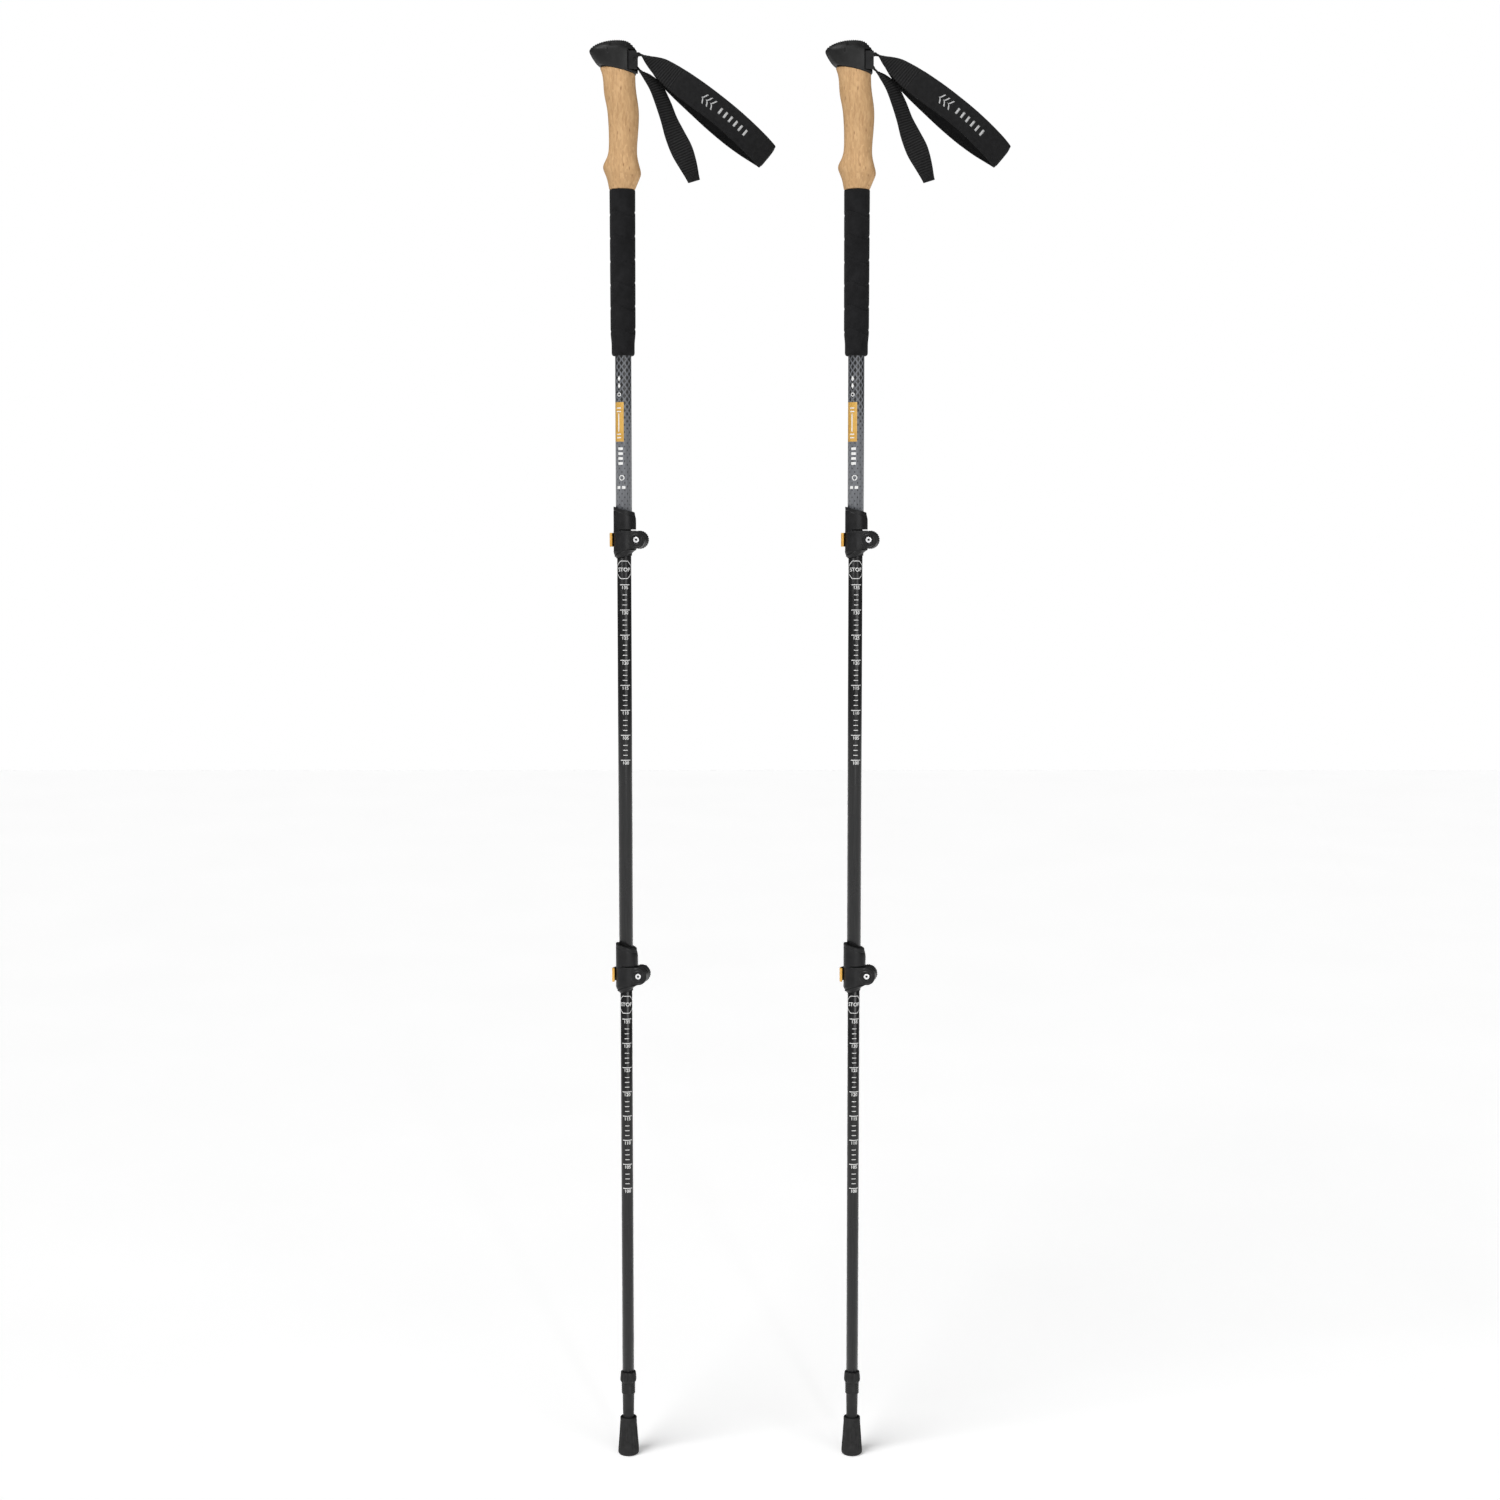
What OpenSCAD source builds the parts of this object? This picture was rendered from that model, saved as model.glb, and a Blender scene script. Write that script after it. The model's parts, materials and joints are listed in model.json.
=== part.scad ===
// A pair of three-section trekking poles, standing upright side by side.
// Origin: centre of the underside of the left pole's rubber foot. +Z runs up the shaft,
// -X is the way the beak of the grip head points, +X is the side of the strap.

/* [Pair] */
// Distance between the axes of the two poles
pole_spacing = 230; // [200:5:400]

/* [Shafts] */
// Outer diameter of the upper shaft
upper_od = 16; // [15.5:0.5:16.5]
// Outer diameter of the middle shaft
middle_od = 14; // [13.5:0.25:14]
// Outer diameter of the lower shaft
lower_od = 12; // [11.5:0.25:12]
// Wall thickness of the three shafts
tube_wall = 0.8; // [0.6:0.05:0.8]
// Length of shaft that stays inside the next one when drawn out
overlap = 80; // [60:5:85]
// Radial clearance of a sliding guide plug
guide_gap = 0.075; // [0.05:0.005:0.1]

/* [Heights] */
// Height of the lower clamp bolt above the ground
lower_bolt_z = 500; // [480:1:500]
// Height of the upper clamp bolt above the ground
upper_bolt_z = 938; // [938:1:960]
// Length of the foam extension grip
foam_length = 160.5; // [120:0.5:170]
// Height of the joint between foam and cork
cork_bottom_z = 1279; // [1279:1:1279]

/* [Clamps] */
// Distance of the clamp bolt from the shaft axis
bolt_offset = 13.9; // [13.5:0.1:15]
// Turn of both clamps about the shaft
clamp_yaw = 9; // [0:1:20]
// Radius of the clamp ears
ear_r = 8.7; // [8:0.1:9]
// Radius of the knurled dial
dial_r = 9.1; // [8.5:0.1:9.2]
// Height of the clamp lever
lever_h = 13.7; // [11:0.1:15]
// Radius of the clamp bolt
bolt_r = 2; // [1.5:0.1:2]

/* [Strap] */
// Width of the padded wrist band
band_w = 26; // [20:1:30]
// Length of the padded loop along its fall
band_l = 128; // [110:1:132]
// Fall of the wrist loop below level
band_fall = 38; // [30:1:40]
// Half of the gap between the two sides of the loop
band_gap = 16; // [12:1:20]
// Width of the narrow webbing
webbing_w = 18; // [15:1:18]

/* [Hidden] */
$fn = 64;
SIDES = ["left", "right"];
PARTS = [
  "head_cap", "head_pad", "grip_core", "cork_grip", "foam_grip", "upper_shaft",
  "strap_lock", "strap_pin", "strap_webbing", "strap_band",
  "upper_collar", "upper_bolt", "upper_barrel", "upper_dial", "upper_lever", "upper_lever_tab",
  "middle_shaft", "middle_guide",
  "lower_collar", "lower_bolt", "lower_barrel", "lower_dial", "lower_lever", "lower_lever_tab",
  "lower_shaft", "lower_guide", "tip_holder", "carbide_tip", "rubber_foot"
];
NODES = [for (s = SIDES) for (p = PARTS) str(s, "_", p)];
node = "all";
e = 0.01;                             // overshoot of cutting shapes

upper_r = upper_od / 2;
middle_r = middle_od / 2;
lower_r = lower_od / 2;
slide_gap = 0.08;                     // radial clearance of a shaft in a clamp bore

// clamp, in a frame with its bolt at z = 0 and the bolt axis along Y
sleeve_r = 11.2;
sleeve_x = 0.8;
sleeve_top = 33;
band_top = 9.1;                       // top of the split band, under the cross slit
slit_h = 1;
seat_z = band_top + slit_h;           // where the upper tube ends in the sleeve
ear_near = -9.3;
ear_far = 7.4;
ear_gap = 1.8;
lip_z = -17;
head_r = 3.3;
head_h = 2.6;
recess_r = 4.1;
recess_d = 3;
hub_r = 4.4;
hub_l = 4;
dial_y0 = 7.6;
dial_y1 = 12;
dial_gap = 0.3;                       // clearance round the dial's rim, in the collar
barrel_y = 16.5;
barrel_r = 2.5;
cam_r = 4.05;
cam_throw = 0.35;
arm_in = 12;                          // lever arc, inner radius
arm_out = 14.2;
arm_y = 0.6;                          // centre of the lever arc behind the shaft axis
tab_from = 165;
tab_to = 203;
tongue_to = 190;
tongue_t = 1;

// shafts
tip_seat_z = 64;
tip_collar_z = 87;
lower_lip_z = lower_bolt_z + lip_z;
upper_lip_z = upper_bolt_z + lip_z;
guide_h = 12;
spigot_h = 18;
lower_top_z = lower_lip_z + overlap;
middle_bottom_z = lower_bolt_z + seat_z;
middle_top_z = upper_lip_z + overlap;
upper_bottom_z = upper_bolt_z + seat_z;
upper_top_z = 1388;

// grip
core_r = 10;
core_top_z = 1389.9;
foam_bottom_z = cork_bottom_z - foam_length;
joint_x = -22;                        // the cork meets the head on a sloping plane
joint_z = 1397.9;
joint_slope = -0.24;
head_top_z = 1422.3;

// strap lock and pin
pin_x = 13;
pin_z = 1402.3;
pin_r = 1.7;
lock_y = 12;
cheek_t = 2.4;
notch_x = 6.5;
notch_z0 = 1392.5;
notch_z1 = 1411;

// ---------------------------------------------------------------- helpers

// One ring of a loft: [z, left, right, half depth]
function ring_points(r, n) =
  let (cx = (r[1] + r[2]) / 2, rx = (r[2] - r[1]) / 2)
  [for (i = [0:n - 1]) let (a = 360 * i / n) [cx + rx * cos(a), r[3] * sin(a), r[0]]];

// Closed solid through oval rings, lowest ring first
module loft(rings, n = 28) {
  m = len(rings);
  points = [for (r = rings) each ring_points(r, n)];
  sides = [for (k = [0:m - 2]) for (i = [0:n - 1]) let (j = (i + 1) % n, a = k * n, b = a + n)
    each [[a + i, b + i, b + j], [a + i, b + j, a + j]]];
  polyhedron(points, concat([[for (i = [0:n - 1]) i]], sides,
    [[for (i = [n - 1:-1:0]) (m - 1) * n + i]]), convexity = 4);
}

// Profile drawn in X and Z, as thick as w across Y
module across(w) { rotate([90, 0, 0]) translate([0, 0, -w / 2]) linear_extrude(w) children(); }

module tube(ro, ri, z0, z1) {
  translate([0, 0, z0]) difference() {
    cylinder(r = ro, h = z1 - z0);
    translate([0, 0, -e]) cylinder(r = ri, h = z1 - z0 + 2 * e);
  }
}

// Cylinder along Y from y0 to y1, at the clamp bolt
module along_bolt(r, y0, y1) {
  translate([bolt_offset, y0, 0]) rotate([-90, 0, 0]) cylinder(r = r, h = y1 - y0);
}

module at_clamp(z) { translate([0, 0, z]) rotate([0, 0, -clamp_yaw]) children(); }

// Sector between two angles, as a cutting shape
module sector(r, a0, a1, h) {
  steps = 12;
  linear_extrude(h, center = true)
    polygon(concat([[0, 0]], [for (i = [0:steps]) let (a = a0 + (a1 - a0) * i / steps)
      [r * cos(a), r * sin(a)]]));
}

// ---------------------------------------------------------------- grip

HEAD_PROFILE = [
  [-31.6, 1411.2], [-30.4, 1413.6], [-26.1, 1417.1], [-17.3, 1420.6], [-9.5, 1422],
  [-2.7, head_top_z], [5.1, 1421.5], [9, 1419.2], [12.9, 1414.4], [15.3, 1410.4],
  [15.6, 1405.6], [14.6, 1398], [13.3, 1388], [-18, 1388], [-21.9, 1397], [-23.9, 1401],
  [-27.3, 1405.6], [-30.8, 1409.4]
];
head_mid_x = -6;
head_half_l = 27;
head_half_w = 15.2;
head_round = 2 / 3;                   // power of the superellipse seen from above

// Outline of the head seen from above: a long oval, blunt at both ends
function head_outline() = [for (i = [0:47]) let (a = 7.5 * i, c = cos(a), s = sin(a))
  [head_mid_x + head_half_l * sign(c) * pow(abs(c), head_round),
   head_half_w * sign(s) * pow(abs(s), head_round)]];

module head_shape() {
  intersection() {
    across(40) polygon(HEAD_PROFILE);
    translate([0, 0, 1380]) linear_extrude(50) polygon(head_outline());
  }
}

// Everything above the sloping joint between cork and head
module above_joint() {
  across(60) polygon([
    [-50, joint_z + joint_slope * (-50 - joint_x)], [50, joint_z + joint_slope * (50 - joint_x)],
    [50, 1450], [-50, 1450]]);
}

// Soft inlay in the top of the head
module pad_region() {
  across(21) polygon([[-24, 1430], [-24, 1416.2], [-16, 1418.6], [-9, 1420], [-2.7, 1420.4],
    [4, 1419.6], [7, 1417.6], [9.5, 1430]]);
}

module head_cap() {
  color([0.13, 0.13, 0.13]) {
    difference() {
      union() {
        intersection() { head_shape(); above_joint(); }
        translate([0, 0, core_top_z]) cylinder(r = core_r, h = 4);
      }
      pad_region();
      translate([notch_x, -30, notch_z0]) cube([30, 60, notch_z1 - notch_z0]);
    }
  }
}

module head_pad() { color([0.08, 0.08, 0.08]) intersection() { head_shape(); pad_region(); } }

module grip_core() {
  color([0.2, 0.2, 0.2]) difference() {
    translate([0, 0, cork_bottom_z]) cylinder(r = core_r, h = core_top_z - cork_bottom_z);
    translate([0, 0, cork_bottom_z - e])
      cylinder(r = upper_r, h = upper_top_z - cork_bottom_z + e);
  }
}

module cork_grip() {
  // [z, left, right, half depth]
  rings = [
    [cork_bottom_z, -12.9, 12.5, 12.6], [1285, -13.8, 14.6, 13.4], [1290, -15, 17, 14.3],
    [1294, -16.5, 18.6, 15], [1298, -18.2, 18.2, 15.3], [1301.6, -19.1, 17.3, 15.2],
    [1308, -16.2, 15.6, 14.2], [1314.4, -13.7, 14.5, 13.4], [1328, -12.9, 15.2, 13.2],
    [1340, -13.1, 16.2, 13.5], [1352, -13.9, 16.8, 13.9], [1364, -15.9, 15.4, 13.8],
    [1376, -17.8, 13.5, 13.4], [1388, -18.4, 13.2, 13.3], [1394, -20.6, 13.2, 13.4],
    [1401, -24, 13.2, 13.6]
  ];
  color([0.8, 0.65, 0.45]) difference() {
    loft(rings);
    above_joint();
    translate([0, 0, cork_bottom_z - e]) cylinder(r = core_r, h = 130);
  }
}

module foam_grip() {
  grooves = 6;
  groove_pitch = 22.6;
  groove_z = 1143;
  groove_d = 0.9;
  groove_h = 1.6;
  top_r = 12.7;
  low_r = 12.4;
  neck_z = 1136;
  outer = concat([[10.3, foam_bottom_z], [11.2, foam_bottom_z + 3], [11.4, foam_bottom_z + 12],
    [low_r, neck_z]],
    [for (i = [0:grooves - 1]) let (z = groove_z + i * groove_pitch, r = low_r + 0.05 * i)
      each [[r, z - groove_h], [r - groove_d, z], [r, z + groove_h]]],
    [[top_r, cork_bottom_z]]);
  color([0.07, 0.07, 0.08]) rotate_extrude()
    polygon(concat([[upper_r, foam_bottom_z]], outer, [[upper_r, cork_bottom_z]]));
}

// ---------------------------------------------------------------- strap

module strap_lock() {
  web_x0 = notch_x + 0.3;
  web_x1 = 9.2;
  lock_z0 = 1393;
  lock_z1 = 1410.4;
  lock_x1 = 15.2;
  color([0.1, 0.1, 0.1]) difference() {
    translate([web_x0, -lock_y, lock_z0]) cube([lock_x1 - web_x0, 2 * lock_y, lock_z1 - lock_z0]);
    translate([web_x1, -lock_y + cheek_t, lock_z0 - e])
      cube([10, 2 * (lock_y - cheek_t), lock_z1 - lock_z0 + 2 * e]);
    translate([pin_x, 0, pin_z]) rotate([90, 0, 0])
      cylinder(r = pin_r, h = 2 * lock_y + 2, center = true);
  }
}

module strap_pin() {
  color([0.6, 0.6, 0.6]) translate([pin_x, 0, pin_z]) rotate([90, 0, 0])
    cylinder(r = pin_r, h = 2 * lock_y, center = true);
}

// Webbing: an eye round the pin, the doubled run to the band and the loose tail
module strap_webbing() {
  eye_r = 3.3;
  eye_gap = 0.1;
  run = [[13, pin_z], [11.5, pin_z + 2.6], [18, 1407.8], [30, 1407.4], [41, 1402.5],
    [39.5, 1399], [30, 1403.6], [19, 1404.6], [15.8, pin_z]];
  tail_start = [[13, pin_z], [15.6, pin_z - 1.6], [18.6, 1395.4], [27.5, 1389.4],
    [25.5, 1384.6], [16.5, 1394.6], [12.6, pin_z - 3]];
  tail = [[26.5, 1391.4], [38.8, 1378], [45.5, 1361.8], [52.2, 1351.2], [63.8, 1333],
    [70.6, 1316.8], [72.6, 1303.3], [76.6, 1288.9], [64.9, 1285.1], [55, 1302.4],
    [46.7, 1315.8], [45.2, 1327.3], [41.2, 1346.5], [34.4, 1363.7], [25, 1384]];
  twist = [[24, 1407.7], [36.3, 1408.4], [48.95, 1400.1], [35.3, 1382.75], [30.5, 1390.5],
    [24, 1404.8]];
  tail_t = 2.4;
  twist_t = 3;
  color([0.09, 0.09, 0.09]) difference() {
    union() {
      across(twist_t) polygon(twist);
      translate([pin_x, 0, pin_z]) rotate([90, 0, 0])
        cylinder(r = eye_r, h = webbing_w, center = true);
      across(webbing_w) polygon(run);
      across(webbing_w * 0.7) polygon(tail_start);
      across(tail_t) polygon(tail);
    }
    translate([pin_x, 0, pin_z]) rotate([90, 0, 0])
      cylinder(r = pin_r + eye_gap, h = webbing_w + 2, center = true);
  }
}

// Padded band: a lens-shaped ring that falls away from the head
band_t = 4;
band_x = 41.1;
band_z = 1389.8;
lens_steps = 24;
function lens(t, extra) = band_gap * sin(180 * t) + extra;
function lens_outline(t0, t1, extra) = concat(
  [for (i = [0:lens_steps]) let (t = t0 + (t1 - t0) * i / lens_steps)
    [t * band_l, -lens(t, extra)]],
  [for (i = [lens_steps:-1:0]) let (t = t0 + (t1 - t0) * i / lens_steps)
    [t * band_l, lens(t, extra)]]);

module strap_band() {
  color([0.06, 0.06, 0.06]) difference() {
    translate([band_x, 0, band_z]) rotate([0, band_fall, 0])
      linear_extrude(band_w, center = true) difference() {
        polygon(lens_outline(0, 1, band_t));
        polygon(lens_outline(0.05, 0.965, 0));
      }
    // corner cut away where the tail passes
    across(60) polygon([[0, 1391.4], [27.2, 1391.4], [39.4, 1378.2], [46.2, 1362],
      [46.2, 1340], [0, 1340]]);
  }
}

// ---------------------------------------------------------------- clamps

module split_collar(r_up, r_down) {
  top_slope = -0.27;
  lip_r = r_down + 2.4;
  color([0.16, 0.16, 0.16]) difference() {
    union() {
      intersection() {
        translate([sleeve_x, 0, -11]) cylinder(r = sleeve_r, h = sleeve_top + 15);
        across(60) polygon([[-30, -11], [30, -11], [30, 30 + top_slope * 30],
          [-30, 30 - top_slope * 30]]);
      }
      translate([sleeve_x * 0.5, 0, lip_z]) cylinder(r1 = lip_r, r2 = sleeve_r - 0.2, h = 6 + e);
      translate([0, ear_near, -ear_r]) cube([bolt_offset, ear_far - ear_near, 2 * ear_r]);
      along_bolt(ear_r, ear_near, ear_far);
    }
    translate([0, 0, seat_z]) cylinder(r = r_up, h = 60);
    translate([0, 0, lip_z - e]) cylinder(r = r_down + slide_gap, h = seat_z - lip_z + 2 * e);
    translate([-3, -30, band_top]) cube([60, 60, slit_h]);
    translate([0, -ear_gap / 2, lip_z - 1]) cube([60, ear_gap, band_top - lip_z + 1 + e]);
    along_bolt(bolt_r, ear_near - 1, ear_far + 1);
    along_bolt(recess_r, ear_near - 1, ear_near + recess_d);
    along_bolt(hub_r + 0.05, ear_far - hub_l, ear_far + 1);
    along_bolt(dial_r + dial_gap, dial_y0 - 0.1, dial_y1 + 5);
  }
}

// Bolt with its head in the near ear, reaching through to the barrel
module clamp_bolt() {
  hex_r = 1.6;
  color([0.85, 0.85, 0.87]) difference() {
    union() {
      along_bolt(head_r, ear_near + recess_d - head_h, ear_near + recess_d);
      along_bolt(bolt_r, ear_near + recess_d - e, barrel_y);
    }
    translate([bolt_offset, ear_near + recess_d - head_h - e, 0]) rotate([-90, 0, 0])
      cylinder(r = hex_r, h = 1.5, $fn = 6);
  }
}

module clamp_barrel() {
  color([0.6, 0.6, 0.62]) difference() {
    translate([bolt_offset, barrel_y, -lever_h / 2]) cylinder(r = barrel_r, h = lever_h);
    along_bolt(bolt_r, 0, barrel_y);
  }
}

// Thumb wheel: its hub turns in the far ear and its face carries the lever's cam
module clamp_dial() {
  notches = 24;
  notch_r = 0.55;
  color([0.14, 0.14, 0.14]) difference() {
    union() {
      along_bolt(dial_r, dial_y0, dial_y1);
      along_bolt(hub_r, ear_far - hub_l + 0.2, dial_y0 + e);
    }
    along_bolt(bolt_r + 0.06, 0, 20);
    translate([bolt_offset, 0, 0]) for (i = [0:notches - 1]) rotate([0, 360 * i / notches, 0])
      translate([dial_r + 0.1, dial_y0 - 1, 0]) rotate([-90, 0, 0])
        cylinder(r = notch_r, h = 8, $fn = 16);
  }
}

// Lever: forked cam hub on the barrel, an arm behind the shaft and a curved end
module clamp_lever() {
  fork_h = 5.2;
  fork_x = 6.5;
  color([0.12, 0.12, 0.12]) difference() {
    union() {
      translate([bolt_offset, barrel_y - cam_throw, -lever_h / 2]) cylinder(r = cam_r, h = lever_h);
      translate([0, arm_y + arm_in, -lever_h / 2])
        cube([bolt_offset, arm_out - arm_in, lever_h]);
      translate([0, arm_y, 0]) difference() {
        cylinder(r = arm_out, h = lever_h, center = true);
        cylinder(r = arm_in, h = lever_h + 1, center = true);
        sector(40, -150, 90, lever_h + 2);
        difference() {
          sector(40, tab_from, 230, lever_h + 3);
          difference() {
            sector(50, tab_from - 5, tongue_to, lever_h + 4);
            difference() {
              cylinder(r = 60, h = lever_h + 5, center = true);
              cylinder(r = arm_in + tongue_t, h = lever_h + 6, center = true);
            }
          }
        }
      }
    }
    translate([bolt_offset, barrel_y, -lever_h]) cylinder(r = barrel_r + 0.05, h = 2 * lever_h);
    translate([fork_x, 5, -fork_h / 2]) cube([20, 30, fork_h]);
  }
}

// Coloured finger tab on the lever's free end
module clamp_tab() {
  tab_out = arm_out + 0.3;
  color([0.93, 0.68, 0.2]) translate([0, arm_y, 0]) difference() {
    cylinder(r = tab_out, h = lever_h, center = true);
    cylinder(r = arm_in, h = lever_h + 1, center = true);
    sector(40, tab_to, 360 + tab_from, lever_h + 2);
    intersection() {
      cylinder(r = arm_in + tongue_t, h = lever_h + 1, center = true);
      sector(40, tab_from - 5, tongue_to, lever_h + 2);
    }
  }
}

// ---------------------------------------------------------------- sections

module guide_plug(z, r_head, r_spigot) {
  vent_r = 1.5;
  color([0.35, 0.35, 0.35]) difference() {
    union() {
      translate([0, 0, z - guide_h]) cylinder(r = r_head, h = guide_h);
      translate([0, 0, z - guide_h - spigot_h]) cylinder(r = r_spigot, h = spigot_h + e);
    }
    translate([0, 0, z - guide_h - spigot_h - 1]) cylinder(r = vent_r, h = 60);
  }
}

module upper_shaft() {
  color([0.42, 0.43, 0.45]) tube(upper_r, upper_r - tube_wall, upper_bottom_z, upper_top_z);
}

module middle_shaft() {
  color([0.25, 0.25, 0.26])
    tube(middle_r, middle_r - tube_wall, middle_bottom_z, middle_top_z - guide_h);
}

module middle_guide() {
  guide_plug(middle_top_z, upper_r - tube_wall - guide_gap, middle_r - tube_wall);
}

module lower_shaft() {
  color([0.25, 0.25, 0.26]) tube(lower_r, lower_r - tube_wall, tip_seat_z, lower_top_z - guide_h);
}

module lower_guide() {
  guide_plug(lower_top_z, middle_r - tube_wall - guide_gap, lower_r - tube_wall);
}

// Tip holder: notched collar, neck for a basket and a tapered stem
module tip_holder() {
  neck_r = 7;
  neck_z0 = 63.7;
  neck_z1 = 76.4;
  collar_r = 8.4;
  tip_bore_r = 2.2;
  color([0.12, 0.12, 0.12]) difference() {
    union() {
      rotate_extrude() polygon([[0, 20], [4.6, 20], [5.65, 41], [6, neck_z0], [neck_r, neck_z0],
        [neck_r, neck_z1], [8, neck_z1 + 0.8], [collar_r, 79.5], [7.9, tip_collar_z - 0.8],
        [7.3, tip_collar_z], [0, tip_collar_z]]);
    }
    translate([0, 0, tip_seat_z]) cylinder(r = lower_r, h = 40);
    translate([0, 0, 19]) cylinder(r = tip_bore_r, h = 22);
  }
}

module carbide_tip() {
  color([0.7, 0.7, 0.72]) rotate_extrude()
    polygon([[0, 9], [0.9, 9], [2.2, 14], [2.2, 40.5], [0, 40.5]]);
}

// Rubber foot: pushes over the stem and the steel tip
module rubber_foot() {
  socket_r0 = 4.75;
  socket_r1 = 5.75;
  color([0.1, 0.1, 0.1]) rotate_extrude() polygon([[0, 0], [7.5, 0], [9.6, 0.9], [10.7, 4],
    [10.6, 8], [8.9, 30], [8.5, 36], [8.5, 39.2], [6.3, 39.2], [socket_r1 + 0.3, 36],
    [socket_r0 + 0.05, 19.7], [2.5, 19.7], [2.5, 8.5], [0, 8.5]]);
}

module upper_collar() { at_clamp(upper_bolt_z) split_collar(upper_r, middle_r); }
module lower_collar() { at_clamp(lower_bolt_z) split_collar(middle_r, lower_r); }

// ---------------------------------------------------------------- the pair

function wanted(i, part) = node == "all" || node == str(SIDES[i], "_", part);

for (i = [0, 1]) translate([i * pole_spacing, 0, 0]) {
  if (wanted(i, "head_cap")) head_cap();
  if (wanted(i, "head_pad")) head_pad();
  if (wanted(i, "grip_core")) grip_core();
  if (wanted(i, "cork_grip")) cork_grip();
  if (wanted(i, "foam_grip")) foam_grip();
  if (wanted(i, "upper_shaft")) upper_shaft();
  if (wanted(i, "strap_lock")) strap_lock();
  if (wanted(i, "strap_pin")) strap_pin();
  if (wanted(i, "strap_webbing")) strap_webbing();
  if (wanted(i, "strap_band")) strap_band();
  if (wanted(i, "upper_collar")) upper_collar();
  if (wanted(i, "upper_bolt")) at_clamp(upper_bolt_z) clamp_bolt();
  if (wanted(i, "upper_barrel")) at_clamp(upper_bolt_z) clamp_barrel();
  if (wanted(i, "upper_dial")) at_clamp(upper_bolt_z) clamp_dial();
  if (wanted(i, "upper_lever")) at_clamp(upper_bolt_z) clamp_lever();
  if (wanted(i, "upper_lever_tab")) at_clamp(upper_bolt_z) clamp_tab();
  if (wanted(i, "middle_shaft")) middle_shaft();
  if (wanted(i, "middle_guide")) middle_guide();
  if (wanted(i, "lower_collar")) lower_collar();
  if (wanted(i, "lower_bolt")) at_clamp(lower_bolt_z) clamp_bolt();
  if (wanted(i, "lower_barrel")) at_clamp(lower_bolt_z) clamp_barrel();
  if (wanted(i, "lower_dial")) at_clamp(lower_bolt_z) clamp_dial();
  if (wanted(i, "lower_lever")) at_clamp(lower_bolt_z) clamp_lever();
  if (wanted(i, "lower_lever_tab")) at_clamp(lower_bolt_z) clamp_tab();
  if (wanted(i, "lower_shaft")) lower_shaft();
  if (wanted(i, "lower_guide")) lower_guide();
  if (wanted(i, "tip_holder")) tip_holder();
  if (wanted(i, "carbide_tip")) carbide_tip();
  if (wanted(i, "rubber_foot")) rubber_foot();
}
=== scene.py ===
import json
import math

import bmesh
import bpy
from mathutils import Matrix, Vector, noise


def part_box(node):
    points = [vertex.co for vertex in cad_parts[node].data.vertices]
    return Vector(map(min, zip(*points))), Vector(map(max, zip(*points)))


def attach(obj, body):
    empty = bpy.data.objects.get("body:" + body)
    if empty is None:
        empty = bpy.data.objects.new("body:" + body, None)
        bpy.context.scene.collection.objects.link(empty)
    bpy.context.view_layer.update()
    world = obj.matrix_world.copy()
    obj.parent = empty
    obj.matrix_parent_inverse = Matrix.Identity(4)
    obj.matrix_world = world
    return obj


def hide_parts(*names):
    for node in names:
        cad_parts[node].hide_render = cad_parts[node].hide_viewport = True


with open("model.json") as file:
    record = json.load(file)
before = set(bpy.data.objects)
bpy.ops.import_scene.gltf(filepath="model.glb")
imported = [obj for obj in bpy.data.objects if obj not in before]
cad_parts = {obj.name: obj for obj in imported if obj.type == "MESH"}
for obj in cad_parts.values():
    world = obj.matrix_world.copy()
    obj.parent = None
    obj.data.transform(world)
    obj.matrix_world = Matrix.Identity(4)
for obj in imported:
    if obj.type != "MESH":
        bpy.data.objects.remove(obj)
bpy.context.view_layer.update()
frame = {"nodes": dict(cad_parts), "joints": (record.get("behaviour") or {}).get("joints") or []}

MM = 0.001
SIDES = ("left", "right")
JOINTS = {j["name"]: j for j in frame["joints"]}


# ------------------------------------------------------------------ places, from the frame

def pole_x(side):
    low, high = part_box(f"{side}_lower_shaft")
    return (low.x + high.x) / 2


POLE_X = {side: pole_x(side) for side in SIDES}


def heights(part):
    """Lowest and highest z of a left node, in millimetres."""
    low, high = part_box("left_" + part)
    return low.z / MM, high.z / MM


def radius(part):
    low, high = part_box("left_" + part)
    return (high.y - low.y) / 2 / MM


FOAM_Z0, FOAM_Z1 = heights("foam_grip")
HEAD_TOP = heights("head_cap")[1]
UPPER_R, MIDDLE_R, LOWER_R = (radius(p) for p in ("upper_shaft", "middle_shaft", "lower_shaft"))
UPPER_LIP, LOWER_LIP = heights("upper_collar")[0], heights("lower_collar")[0]
TIP_Z0, TIP_TOP = heights("tip_holder")
FOOT_TOP = heights("rubber_foot")[1]
PIN_X = JOINTS["left_strap_swing"]["pos_m"][0] / MM
PIN_Z = JOINTS["left_strap_swing"]["pos_m"][2] / MM
BOLT_AXIS = JOINTS["left_upper_dial_turn"]["axis"]
CLAMP_YAW = math.atan2(BOLT_AXIS[0], BOLT_AXIS[1])
BOLT_Z = {name: JOINTS[f"left_{name}_dial_turn"]["pos_m"][2] / MM for name in ("upper", "lower")}


# ------------------------------------------------------------------ camera, floor and light

EYE_HEIGHT = 0.9377
EYE_DISTANCE = 2.2714
LOOK_DOWN = 5.27
LENS = 54.62
EYE_X = POLE_X["left"] + 0.1251


def linked(name, data):
    """A new object in the scene, holding the data."""
    obj = bpy.data.objects.new(name, data)
    bpy.context.scene.collection.objects.link(obj)
    return obj


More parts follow.
